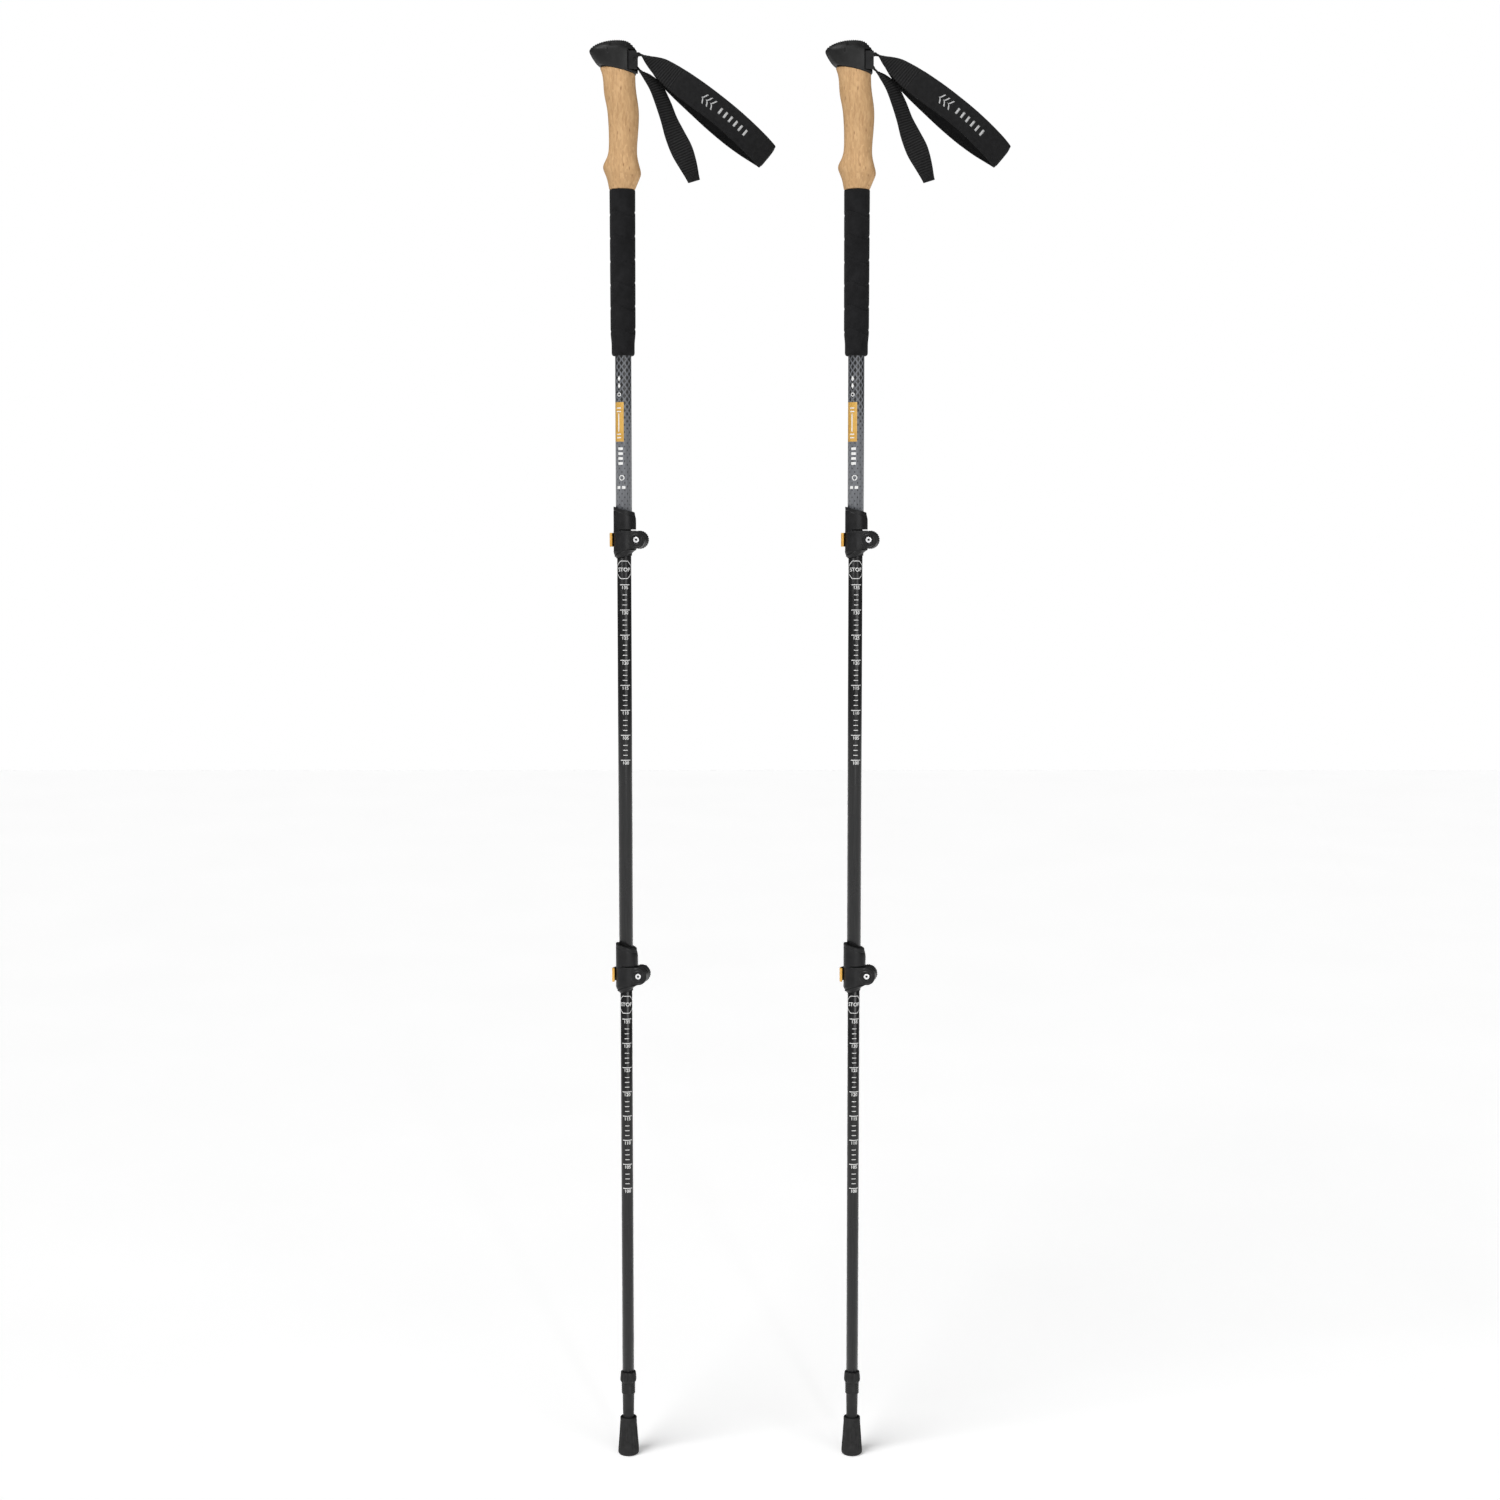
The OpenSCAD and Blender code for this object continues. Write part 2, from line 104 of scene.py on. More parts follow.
def make_camera():
    data = bpy.data.cameras.new("camera")
    data.lens = LENS
    data.sensor_width = 36
    camera = linked("camera", data)
    camera.location = (EYE_X, -EYE_DISTANCE, EYE_HEIGHT)
    camera.rotation_euler = (math.radians(90 - LOOK_DOWN), 0, 0)
    bpy.context.scene.camera = camera


def make_lamp(name, place, target, power, size, size_y=None):
    data = bpy.data.lights.new(name, "AREA")
    data.energy = power
    data.size = size
    if size_y:
        data.shape = "RECTANGLE"
        data.size_y = size_y
    lamp = linked(name, data)
    lamp.location = place
    lamp.rotation_euler = (Vector(target) - Vector(place)).to_track_quat("-Z", "Y").to_euler()


def make_sun(name, azimuth, elevation, strength, softness):
    """Even light from an azimuth right of the camera's side and an elevation, in degrees."""
    data = bpy.data.lights.new(name, "SUN")
    data.energy = strength
    data.angle = math.radians(softness)
    lamp = linked(name, data)
    a, e = math.radians(azimuth), math.radians(elevation)
    back = Vector((math.sin(a) * math.cos(e), -math.cos(a) * math.cos(e), math.sin(e)))
    lamp.rotation_euler = back.to_track_quat("Z", "Y").to_euler()


def make_world():
    """White surroundings that light the object only gently, so that black parts stay black."""
    world = bpy.data.worlds.new("studio")
    world.use_nodes = True
    tree = world.node_tree
    seen = tree.nodes["Background"]
    seen.inputs["Color"].default_value = (1, 1, 1, 1)
    path = tree.nodes.new("ShaderNodeLightPath")
    level = tree.nodes.new("ShaderNodeMapRange")
    level.inputs["To Min"].default_value = 0.10
    level.inputs["To Max"].default_value = 1.0
    tree.links.new(path.outputs["Is Camera Ray"], level.inputs["Value"])
    tree.links.new(level.outputs["Result"], seen.inputs["Strength"])
    return world


def floor_material():
    n = Nodes("floor", (0.93, 0.93, 0.93), 0.9, Specular_IOR_Level=0.1)
    n.colour(n.ramp(n.noise(3, 2), (0.3, (0.92, 0.92, 0.92)), (0.7, (0.94, 0.94, 0.94))))
    n.bsdf.inputs["Emission Color"].default_value = (1, 1, 1, 1)
    n.bsdf.inputs["Emission Strength"].default_value = 0.3
    return n.material


def make_studio():
    scene = bpy.context.scene
    scene.view_settings.view_transform = "Standard"
    scene.world = make_world()
    make_sun("key", -42, 48, 2.4, 34)
    make_sun("fill", 34, 16, 0.8, 30)
    make_lamp("strip", (0.72, -2.6, 1.0), (0.1, 0, 0.8), 9, 0.10, 2.0)
    bpy.ops.mesh.primitive_plane_add(size=14, location=(0.1, 0, 0))
    floor = bpy.context.object
    floor.name = "floor"
    floor.data.materials.append(floor_material())


# ------------------------------------------------------------------ node materials

class Nodes:
    """Short calls that add nodes to one material and link them."""

    def __init__(self, name, colour=(0.5, 0.5, 0.5), roughness=0.5, **sockets):
        self.material = bpy.data.materials.new(name)
        self.material.use_nodes = True
        self.tree = self.material.node_tree
        self.bsdf = self.tree.nodes["Principled BSDF"]
        self.bsdf.inputs["Base Color"].default_value = (*colour, 1)
        self.bsdf.inputs["Roughness"].default_value = roughness
        for key, value in sockets.items():
            self.bsdf.inputs[key.replace("_", " ")].default_value = value

    def add(self, kind, inputs=None, **properties):
        made = self.tree.nodes.new("ShaderNode" + kind)
        for key, value in properties.items():
            setattr(made, key, value)
        for key, value in (inputs or {}).items():
            self.feed(made.inputs[key], value)
        return made

    def feed(self, socket, value):
        if isinstance(value, bpy.types.NodeSocket):
            self.tree.links.new(value, socket)
        else:
            socket.default_value = value

    def math(self, operation, a, b=0.0, c=0.0):
        made = self.add("Math", {0: a, 1: b, 2: c}, operation=operation)
        return made.outputs[0]

    def point(self):
        return self.add("TexCoord").outputs["Object"]

    def scaled(self, scale):
        return self.add("Mapping", {"Vector": self.point(), "Scale": scale}).outputs[0]

    def noise(self, scale, detail=3.0, stretch=(1, 1, 1), rough=0.55):
        made = self.add("TexNoise", {"Vector": self.scaled(stretch), "Scale": scale,
                                     "Detail": detail, "Roughness": rough})
        return made.outputs["Fac"]

    def ramp(self, value, *stops):
        made = self.add("ValToRGB", {"Fac": value})
        ramp = made.color_ramp
        while len(ramp.elements) < len(stops):
            ramp.elements.new(0.5)
        for element, (place, colour) in zip(ramp.elements, stops):
            element.position = place
            element.color = (*colour, 1)
        return made.outputs["Color"]

    def span(self, value, from_low, from_high, to_low, to_high):
        made = self.add("MapRange", {"Value": value, "From Min": from_low, "From Max": from_high,
                                     "To Min": to_low, "To Max": to_high})
        return made.outputs["Result"]

    def mix(self, factor, a, b):
        made = self.add("Mix", data_type="RGBA")
        self.feed(made.inputs["Factor"], factor)
        self.feed(made.inputs["A"], a if not isinstance(a, tuple) else (*a, 1))
        self.feed(made.inputs["B"], b if not isinstance(b, tuple) else (*b, 1))
        return made.outputs["Result"]

    def colour(self, value):
        self.feed(self.bsdf.inputs["Base Color"], value)

    def roughness(self, value):
        self.feed(self.bsdf.inputs["Roughness"], value)

    def bump(self, height, strength, distance_mm):
        made = self.add("Bump", {"Height": height, "Strength": strength,
                                 "Distance": distance_mm * MM})
        self.feed(self.bsdf.inputs["Normal"], made.outputs["Normal"])


def moulded_plastic(name, dark, light, roughness=0.42, grain=2600, grain_mm=0.03):
    """Moulded black plastic: cloudy colour, fine spark-eroded grain and uneven gloss."""
    n = Nodes(name, dark, roughness, Specular_IOR_Level=0.24)
    n.colour(n.ramp(n.noise(90, 4), (0.3, dark), (0.72, light)))
    n.roughness(n.span(n.noise(160, 3), 0.3, 0.7, roughness - 0.07, roughness + 0.1))
    n.bump(n.noise(grain, 2), 0.35, grain_mm)
    return n.material


def cork_material():
    """Pressed cork: fine pale grain with brown flecks and streaks drawn out along the grip."""
    n = Nodes("cork", (0.6, 0.4, 0.2), 0.72, Specular_IOR_Level=0.25)
    grains = n.add("TexVoronoi", {"Vector": n.scaled((1, 1, 0.3)), "Scale": 700.0})
    tint = n.add("SeparateColor", {"Color": grains.outputs["Color"]}).outputs[0]
    base = n.ramp(tint, (0.0, (0.53, 0.33, 0.165)), (0.5, (0.58, 0.37, 0.19)),
                  (1.0, (0.64, 0.42, 0.225)))
    broad = n.ramp(n.noise(70, 5, (1, 1, 0.25)), (0.3, (0.84, 0.81, 0.76)), (0.7, (1.06, 1.03, 1.0)))
    toned = n.add("Mix", data_type="RGBA", blend_type="MULTIPLY")
    n.feed(toned.inputs["Factor"], 1.0)
    n.feed(toned.inputs["A"], base)
    n.feed(toned.inputs["B"], broad)
    streaks = n.noise(420, 6, (1, 1, 0.16), 0.75)
    streak_mask = n.span(streaks, 0.52, 0.70, 0.0, 0.75)
    streaked = n.mix(streak_mask, toned.outputs["Result"], (0.36, 0.20, 0.09))
    pores = n.add("TexVoronoi", {"Vector": n.scaled((1, 1, 0.25)), "Scale": 260.0})
    pore_mask = n.span(pores.outputs["Distance"], 0.05, 0.17, 0.85, 0.0)
    n.colour(n.mix(pore_mask, streaked, (0.24, 0.12, 0.05)))
    relief = n.math("SUBTRACT", n.noise(700, 4), n.math("MULTIPLY", pore_mask, 0.8))
    n.bump(relief, 0.6, 0.22)
    n.roughness(n.span(n.noise(400, 2), 0.3, 0.7, 0.62, 0.82))
    return n.material


def foam_material():
    """Closed-cell foam: fine open cells on a soft black ground, paler where hands rub it."""
    n = Nodes("foam", (0.02, 0.02, 0.022), 0.92, Specular_IOR_Level=0.15, Sheen_Weight=0.04)
    cells = n.add("TexVoronoi", {"Vector": n.point(), "Scale": 1500.0}).outputs["Distance"]
    n.colour(n.ramp(n.noise(120, 5), (0.3, (0.006, 0.006, 0.0065)), (0.75, (0.013, 0.013, 0.014))))
    n.bump(cells, 0.5, 0.12)
    return n.material


def lozenge(n, turns, rows, shift, width, height):
    """Distance from the nearest lozenge centre of a staggered lattice round the shaft."""
    across = n.math("SUBTRACT", n.math("FRACT", n.math("ADD", turns, shift)), 0.5)
    along = n.math("SUBTRACT", n.math("FRACT", n.math("ADD", rows, shift)), 0.5)
    a = n.math("DIVIDE", n.math("ABSOLUTE", across), width)
    b = n.math("DIVIDE", n.math("ABSOLUTE", along), height)
    return n.math("ADD", a, b)


def woven_carbon(top_mm, low_mm):
    """Grey carbon weave under clear coat: black lozenges that shrink to dots down the shaft."""
    columns, pitch_mm = 9, 7.1
    n = Nodes("upper_carbon", (0.15, 0.155, 0.165), 0.34, Coat_Weight=0.3, Coat_Roughness=0.2,
              Specular_IOR_Level=0.5)
    xyz = n.add("SeparateXYZ", {"Vector": n.point()})
    angle = n.math("ARCTAN2", xyz.outputs["Y"], xyz.outputs["X"])
    turns = n.math("MULTIPLY", angle, columns / (2 * math.pi))
    z_mm = n.math("MULTIPLY", xyz.outputs["Z"], 1000.0)
    rows = n.math("DIVIDE", z_mm, pitch_mm)
    nearest = n.math("MINIMUM", lozenge(n, turns, rows, 0.0, 0.30, 0.40),
                     lozenge(n, turns, rows, 0.5, 0.30, 0.40))
    lean = n.math("MULTIPLY", n.math("SINE", n.math("ADD", angle, 0.6)), 9.0)
    level = n.math("ADD", z_mm, lean)
    size = n.span(level, low_mm, top_mm, 0.40, 0.98)
    black = n.span(n.math("SUBTRACT", nearest, size), -0.08, 0.08, 1.0, 0.0)
    threads = n.noise(900, 2, (1, 1, 0.06))
    weave = n.ramp(threads, (0.3, (0.085, 0.09, 0.10)), (0.7, (0.165, 0.172, 0.188)))
    n.colour(n.mix(black, weave, (0.003, 0.003, 0.0035)))
    n.roughness(n.span(n.noise(60, 3), 0.3, 0.7, 0.28, 0.42))
    n.bump(threads, 0.15, 0.05)
    return n.material


def dark_carbon():
    """Dark unidirectional carbon under clear coat, with fibres along the shaft."""
    n = Nodes("dark_carbon", (0.01, 0.01, 0.01), 0.3, Specular_IOR_Level=0.3, Coat_Weight=0.2,
              Coat_Roughness=0.16)
    fibres = n.noise(2400, 3, (1, 1, 0.02))
    n.colour(n.ramp(fibres, (0.3, (0.004, 0.004, 0.0042)), (0.7, (0.016, 0.016, 0.0165))))
    n.roughness(n.span(n.noise(70, 3), 0.3, 0.7, 0.24, 0.38))
    n.bump(fibres, 0.2, 0.03)
    return n.material


def print_ink(name, colour):
    """Screen-printed ink, rubbed thin in places."""
    n = Nodes(name, colour, 0.5)
    worn = tuple(c * 0.7 for c in colour)
    n.colour(n.ramp(n.noise(1300, 4), (0.22, worn), (0.36, colour)))
    return n.material


def label_material():
    n = Nodes("label", (0.75, 0.42, 0.06), 0.4, Coat_Weight=0.3, Coat_Roughness=0.2)
    n.colour(n.ramp(n.noise(180, 4, (1, 1, 0.4)), (0.3, (0.54, 0.29, 0.05)),
                    (0.7, (0.68, 0.41, 0.10))))
    n.bump(n.noise(1200, 2), 0.1, 0.03)
    return n.material


def tab_material():
    n = Nodes("tab", (0.8, 0.42, 0.05), 0.33, Coat_Weight=0.25)
    n.colour(n.ramp(n.noise(140, 3), (0.3, (0.66, 0.33, 0.035)), (0.7, (0.78, 0.43, 0.07))))
    n.bump(n.noise(1900, 2), 0.2, 0.02)
    return n.material


def metal(name, colour, roughness, metallic=1.0):
    n = Nodes(name, colour, roughness, Metallic=metallic)
    n.roughness(n.span(n.noise(900, 3), 0.3, 0.7, roughness - 0.06, roughness + 0.1))
    n.bump(n.noise(2600, 2), 0.1, 0.02)
    return n.material


def webbing_material():
    """Polyester webbing: yarns across the ribs, with a few paler fibres and painted shade darkening the
    troughs between the ribs.
    """
    n = Nodes("webbing", (0.02, 0.02, 0.021), 0.72, Sheen_Weight=0.05, Specular_IOR_Level=0.22)
    yarn = n.add("TexWave", {"Vector": n.point(), "Scale": 520.0, "Distortion": 2.5,
                             "Detail": 2.0}, bands_direction="DIAGONAL").outputs["Fac"]
    trough_shade_by_crest = n.add("Attribute", attribute_name="rib").outputs["Fac"]
    thread = n.mix(yarn, (0.006, 0.006, 0.0063), (0.019, 0.019, 0.0195))
    # painted shade: the crest height mixes the troughs between the ribs towards near black, standing in
    # for the shade that falls in them
    n.colour(n.mix(n.math("POWER", trough_shade_by_crest, 1.6), (0.0006, 0.0006, 0.0006), thread))
    n.roughness(n.span(n.noise(500, 2), 0.3, 0.7, 0.62, 0.85))
    n.bump(yarn, 0.6, 0.12)
    return n.material


def band_material():
    """Brushed lining of the padded band: a close knit with a soft nap."""
    n = Nodes("band", (0.011, 0.011, 0.0115), 0.86, Sheen_Weight=0.06, Specular_IOR_Level=0.2)
    knit = n.add("TexVoronoi", {"Vector": n.point(), "Scale": 1250.0}).outputs["Distance"]
    n.colour(n.ramp(n.noise(260, 5), (0.3, (0.0045, 0.0045, 0.0048)), (0.75, (0.0105, 0.0105, 0.011))))
    n.bump(knit, 0.55, 0.15)
    return n.material


def rubber_material():
    n = Nodes("rubber", (0.018, 0.018, 0.018), 0.72, Specular_IOR_Level=0.35)
    n.colour(n.ramp(n.noise(170, 4), (0.3, (0.0065, 0.0065, 0.0065)), (0.75, (0.017, 0.017, 0.017))))
    n.roughness(n.span(n.noise(220, 3), 0.3, 0.7, 0.6, 0.84))
    n.bump(n.noise(1500, 3), 0.35, 0.06)
    return n.material


MATERIALS = {}


def make_materials():
    MATERIALS.update({
        "head": moulded_plastic("head_plastic", (0.010, 0.010, 0.010), (0.019, 0.019, 0.019), 0.44),
        "pad": moulded_plastic("pad_rubber", (0.006, 0.006, 0.006), (0.014, 0.014, 0.014), 0.7,
                               1500, 0.08),
        "clamp": moulded_plastic("clamp_plastic", (0.007, 0.007, 0.0075), (0.015, 0.015, 0.0155), 0.4),
        "inner": moulded_plastic("inner_plastic", (0.04, 0.04, 0.04), (0.07, 0.07, 0.07), 0.5),
        "cork": cork_material(), "foam": foam_material(), "dark_carbon": dark_carbon(),
        "upper_carbon": woven_carbon(1072.0, 1036.0), "ink": print_ink("white_ink", (0.75, 0.75, 0.74)),
        "grey_ink": print_ink("grey_ink", (0.42, 0.42, 0.42)),
        "label": label_material(), "tab": tab_material(),
        "bolt": metal("bolt", (0.86, 0.86, 0.87), 0.34, 0.45),
        "steel": metal("steel", (0.55, 0.55, 0.56), 0.34), "webbing": webbing_material(),
        "band": band_material(), "rubber": rubber_material(),
    })


# ------------------------------------------------------------------ mesh tools, in millimetres

def make_object(name, verts, faces, material, smooth=True):
    mesh = bpy.data.meshes.new(name)
    mesh.from_pydata([tuple(c * MM for c in v) for v in verts], [], faces)
    mesh.update()
    obj = linked(name, mesh)
    obj.data.materials.append(MATERIALS[material])
    mend_normals(obj)
    if smooth:
        obj.data.shade_smooth()
    return obj


def mend_normals(obj):
    bm = bmesh.new()
    bm.from_mesh(obj.data)
    bmesh.ops.recalc_face_normals(bm, faces=bm.faces)
    bm.to_mesh(obj.data)
    bm.free()


def skin_faces(rings, count, caps=True, loop=False):
    """Quads between rings of count points each, as index tuples."""
    faces = []
    spans = rings if loop else rings - 1
    for k in range(spans):
        a, b = k * count, (k + 1) % rings * count
        for i in range(count):
            j = (i + 1) % count
            faces.append((a + i, a + j, b + j, b + i))
    if caps and not loop:
        faces.append(tuple(range(count)))
        faces.append(tuple((rings - 1) * count + i for i in reversed(range(count))))
    return faces


def skin(name, rings, material, caps=True, loop=False):
    count = len(rings[0])
    verts = [p for ring in rings for p in ring]
    return make_object(name, verts, skin_faces(len(rings), count, caps, loop), material)


def lathe_rings(profile, count, shape=None):
    """Rings about the pole's axis for (radius, z) pairs; shape(angle, radius, z) gives the radius."""
    rings = []
    for r, z in profile:
        ring = []
        for i in range(count):
            a = 2 * math.pi * i / count
            rr = shape(a, r, z) if shape else r
            ring.append((rr * math.cos(a), rr * math.sin(a), z))
        rings.append(ring)
    return rings


def lathe(name, profile, material, count=96, shape=None):
    return skin(name, lathe_rings(profile, count, shape), material)


def tube(name, outer, inner, z0, z1, material, steps=2, count=96):
    """Hollow tube with small rounded rims."""
    rim = (outer - inner) * 0.25
    profile = [(inner, z0 + rim), (inner + rim, z0), (outer - rim, z0), (outer, z0 + rim)]
    profile += [(outer, z0 + (z1 - z0) * k / steps) for k in range(1, steps)]
    profile += [(outer, z1 - rim), (outer - rim, z1), (inner + rim, z1), (inner, z1 - rim)]
    return skin(name, lathe_rings(profile, count), material, loop=True)


FINE_STEPS = 2000


def smooth_curve(points, samples):
    """Even samples of a Catmull-Rom curve through the points, which may hold any count of values."""
    def at(t):
        k = min(int(t), len(points) - 2)
        u = t - k
        p0, p1 = points[max(k - 1, 0)], points[k]
        p2, p3 = points[k + 1], points[min(k + 2, len(points) - 1)]
        return [0.5 * (2 * b + (c - a) * u + (2 * a - 5 * b + 4 * c - d) * u * u
                       + (3 * b - a - 3 * c + d) * u ** 3) for a, b, c, d in zip(p0, p1, p2, p3)]
    fine = [at((len(points) - 1) * i / (FINE_STEPS - 1)) for i in range(FINE_STEPS)]
    run = [0.0]
    for a, b in zip(fine, fine[1:]):
        run.append(run[-1] + math.dist(a[:3], b[:3]))
    out, k = [], 0
    for i in range(samples):
        want = run[-1] * i / (samples - 1)
        while k < len(run) - 2 and run[k + 1] < want:
            k += 1
        u = (want - run[k]) / max(run[k + 1] - run[k], 1e-9)
        out.append([a + (b - a) * min(max(u, 0), 1) for a, b in zip(fine[k], fine[k + 1])])
    return out, run[-1]


def bake(obj):
    """Applies the object's modifiers to its mesh."""
    graph = bpy.context.evaluated_depsgraph_get()
    graph.update()
    mesh = bpy.data.meshes.new_from_object(obj.evaluated_get(graph))
    obj.modifiers.clear()
    obj.data = mesh


def modify(obj, kind, **settings):
    made = obj.modifiers.new(kind.lower(), kind)
    for key, value in settings.items():
        setattr(made, key, value)
    return made


def remove(obj):
    bpy.data.objects.remove(obj, do_unlink=True)


def joined(name, objects):
    """One object from several, with their materials."""
    bm = bmesh.new()
    materials = []
    for obj in objects:
        mesh = obj.data.copy()
        mesh.transform(obj.matrix_basis)
        offset = []
        for m in mesh.materials:
            if m not in materials:
                materials.append(m)
            offset.append(materials.index(m))
        for poly in mesh.polygons:
            poly.material_index = offset[poly.material_index]
        bm.from_mesh(mesh)
    mesh = bpy.data.meshes.new(name)
    bm.to_mesh(mesh)
    bm.free()
    for m in materials:
        mesh.materials.append(m)
    out = linked(name, mesh)
    for obj in objects:
        remove(obj)
    return out


def cad_copy(part, material):
    """A copy of the left pole's CAD node, in the pole's own frame."""
    source = frame["nodes"]["left_" + part]
    mesh = source.data.copy()
    mesh.transform(Matrix.Translation((-POLE_X["left"], 0, 0)))
    mesh.materials.clear()
    mesh.materials.append(MATERIALS[material])
    return linked(part, mesh)


def soften(obj, voxel_mm, passes):
    """Rounds every edge as a moulding has it: remesh, then relax."""
    modify(obj, "REMESH", mode="VOXEL", voxel_size=voxel_mm * MM, use_smooth_shade=True)
    modify(obj, "SMOOTH", factor=0.5, iterations=passes)
    bake(obj)
    return obj


def smoothstep(t):
    t = min(max(t, 0.0), 1.0)
    return t * t * (3 - 2 * t)


def ridge(distance, half_width):
    """One at the middle of a line, nothing at its edges."""
    return math.exp(-(distance / half_width) ** 2)


def press(obj, height_at):
    """Moves each point along its normal by height_at(x, y, z, normal), in millimetres."""
    points = [(v.co.copy(), v.normal.copy()) for v in obj.data.vertices]
    moved = []
    for co, normal in points:
        height = height_at(co.x / MM, co.y / MM, co.z / MM, normal)
        moved.extend(co + normal * (height * MM))
    obj.data.vertices.foreach_set("co", moved)
    obj.data.update()


def reshape(obj, place):
    """Moves each point to place(x, y, z), in millimetres."""
    moved = []
    for v in obj.data.vertices:
        moved += [c * MM for c in place(v.co.x / MM, v.co.y / MM, v.co.z / MM)]
    obj.data.vertices.foreach_set("co", moved)
    obj.data.update()


def put(obj, body, slot, *parts):
    """Puts the piece on both poles, riding on the body and standing for the CAD parts."""
    name = obj.name
    pieces = []
    for side in SIDES:
        piece = obj if side == "left" else obj.copy()
        if side != "left":
            piece.data = obj.data.copy()
            bpy.context.scene.collection.objects.link(piece)
        pieces.append(piece)
    for side, piece in zip(SIDES, pieces):
        piece.name = f"{side}_{name}_look"
        piece.location.x = POLE_X[side]
        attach(piece, f"{side}_{body}")
        if parts:
            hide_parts(*[f"{side}_{part}" for part in parts])
    return pieces


# ------------------------------------------------------------------ grip

# (height below the head's top, leftmost x, rightmost x, half depth)
HEAD_LEVELS = [
    (25.3, -21.9, 13.4, 13.6), (23.6, -22.6, 14.2, 13.9), (21.3, -23.9, 14.9, 14.4),
    (18.9, -25.6, 15.3, 14.8), (16.7, -27.3, 15.6, 15.0), (14.6, -29.2, 15.6, 15.2),
    (12.9, -30.8, 15.5, 15.2), (11.1, -31.5, 15.1, 15.1), (9.8, -31.3, 14.5, 14.9),
    (8.4, -30.2, 13.4, 14.5), (6.6, -28.2, 11.9, 13.7), (5.0, -25.6, 10.5, 12.6),
    (3.4, -21.9, 8.9, 11.2), (2.2, -18.4, 7.3, 9.4), (1.2, -14.4, 5.2, 7.2),
    (0.5, -10.4, 2.6, 4.8), (0.1, -6.0, -0.4, 2.2),
]
JOINT_X, JOINT_Z, JOINT_SLOPE = -22.0, 1397.9, -0.24
HEAD_ROUND = 2.6
NOTCH_ABOVE = 1.8


def joint_height(x):
    """Height of the sloping joint between cork and head at x, lower towards the strap."""
    return JOINT_Z + JOINT_SLOPE * (x - JOINT_X)


def oval(left, right, half, z, count=72, power=HEAD_ROUND):
    """Points of a rounded oval, as a function of angle; z may be a function of x."""
    ring = []
    for i in range(count):
        a = 2 * math.pi * i / count
        c, s = math.cos(a), math.sin(a)
        x = (left + right) / 2 + (right - left) / 2 * math.copysign(abs(c) ** (2 / power), c)
        y = half * math.copysign(abs(s) ** (2 / power), s)
        ring.append((x, y, z(x) if callable(z) else z))
    return ring


def head_rings():
    """Level rings at the top that lean over to the sloping joint at the bottom."""
    rings = []
    for k, (drop, left, right, half) in enumerate(HEAD_LEVELS):
        lean = max(0.0, 1 - k / 6)
        blend = (lambda x, z=HEAD_TOP - drop, w=lean: z * (1 - w) + joint_height(x) * w)
        power = HEAD_ROUND if drop > 0.55 else 2.2
        rings.append(oval(left, right, half, blend, power=power))
    return rings


def box_object(name, low, high, material="clamp"):
    x0, y0, z0 = low
    x1, y1, z1 = high
    verts = [(x, y, z) for z in (z0, z1) for x, y in ((x0, y0), (x1, y0), (x1, y1), (x0, y1))]
    faces = [(0, 3, 2, 1), (4, 5, 6, 7), (0, 1, 5, 4), (1, 2, 6, 5), (2, 3, 7, 6), (3, 0, 4, 7)]
    return make_object(name, verts, faces, material, smooth=False)


def cut(obj, cutter, operation="DIFFERENCE"):
    modify(obj, "BOOLEAN", operation=operation, object=cutter, solver="EXACT")
    bake(obj)
    remove(cutter)


PAD_DEPTH = 2.7
RIB_PITCH = 2.1


def head_detail(x, y, z, normal):
    """Ribbed grip on top, a seam under it, a shallow recess and a slot mark."""
    below = head_surface(x, 0.0) - z
    side = smoothstep((abs(normal.y) - 0.35) / 0.3)
    move = -0.55 * ridge(below - PAD_DEPTH, 0.35) * side
    if below < PAD_DEPTH or abs(normal.y) < 0.5 and normal.z > 0.25:
        fade = smoothstep((x + 31.5) / 2.5) * smoothstep((14.5 - x) / 2)
        move += 0.32 * math.cos(2 * math.pi * x / RIB_PITCH) * fade
    recess = smoothstep((x + 12) / 2.5) * smoothstep((6 - x) / 2.5)
    recess *= smoothstep((below - PAD_DEPTH) / 0.8) * smoothstep((7.2 - below) / 1.4)
    move -= 0.75 * recess * side
    slot = smoothstep((z - 1407.6) / 0.8) * smoothstep((1412.6 - z) / 0.8)
    move += (0.22 * ridge(abs(x + 13.0) - 1.1, 0.45) - 0.7 * ridge(x + 13.0, 0.5)) * slot * side
    return move


def build_head():
    head = skin("head_cap", head_rings(), "head")
    lock_low, lock_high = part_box("left_strap_lock")
    back = lock_low.x / MM - 0.4
    cut(head, box_object("notch", (back, -30, lock_low.z / MM - 0.5),
                         (back + 30, 30, lock_high.z / MM + NOTCH_ABOVE)))
    soften(head, 0.38, 3)
    press(head, head_detail)
    head.data.materials.append(MATERIALS["pad"])
    for poly in head.data.polygons:
        c = poly.center / MM
        if head_surface(c.x, 0.0) - c.z < PAD_DEPTH:
            poly.material_index = 1
    put(head, "upper", "head_plastic", "head_cap", "head_pad")


def head_surface(x, y):
    """Height of the head's top above x and y."""
    levels = HEAD_LEVELS[7:]
    for (drop, left, right, half), (drop2, left2, right2, half2) in zip(levels, levels[1:]):
        def inside(l, r, h):
            u = (x - (l + r) / 2) / ((r - l) / 2)
            return abs(u) ** HEAD_ROUND + abs(y / h) ** HEAD_ROUND
        outer, inner = inside(left, right, half), inside(left2, right2, half2)
        if outer <= 1 < inner:
            t = (1 - outer) / max(inner - outer, 1e-6)
            return HEAD_TOP - (drop + (drop2 - drop) * min(t, 1))
    return HEAD_TOP - 0.1


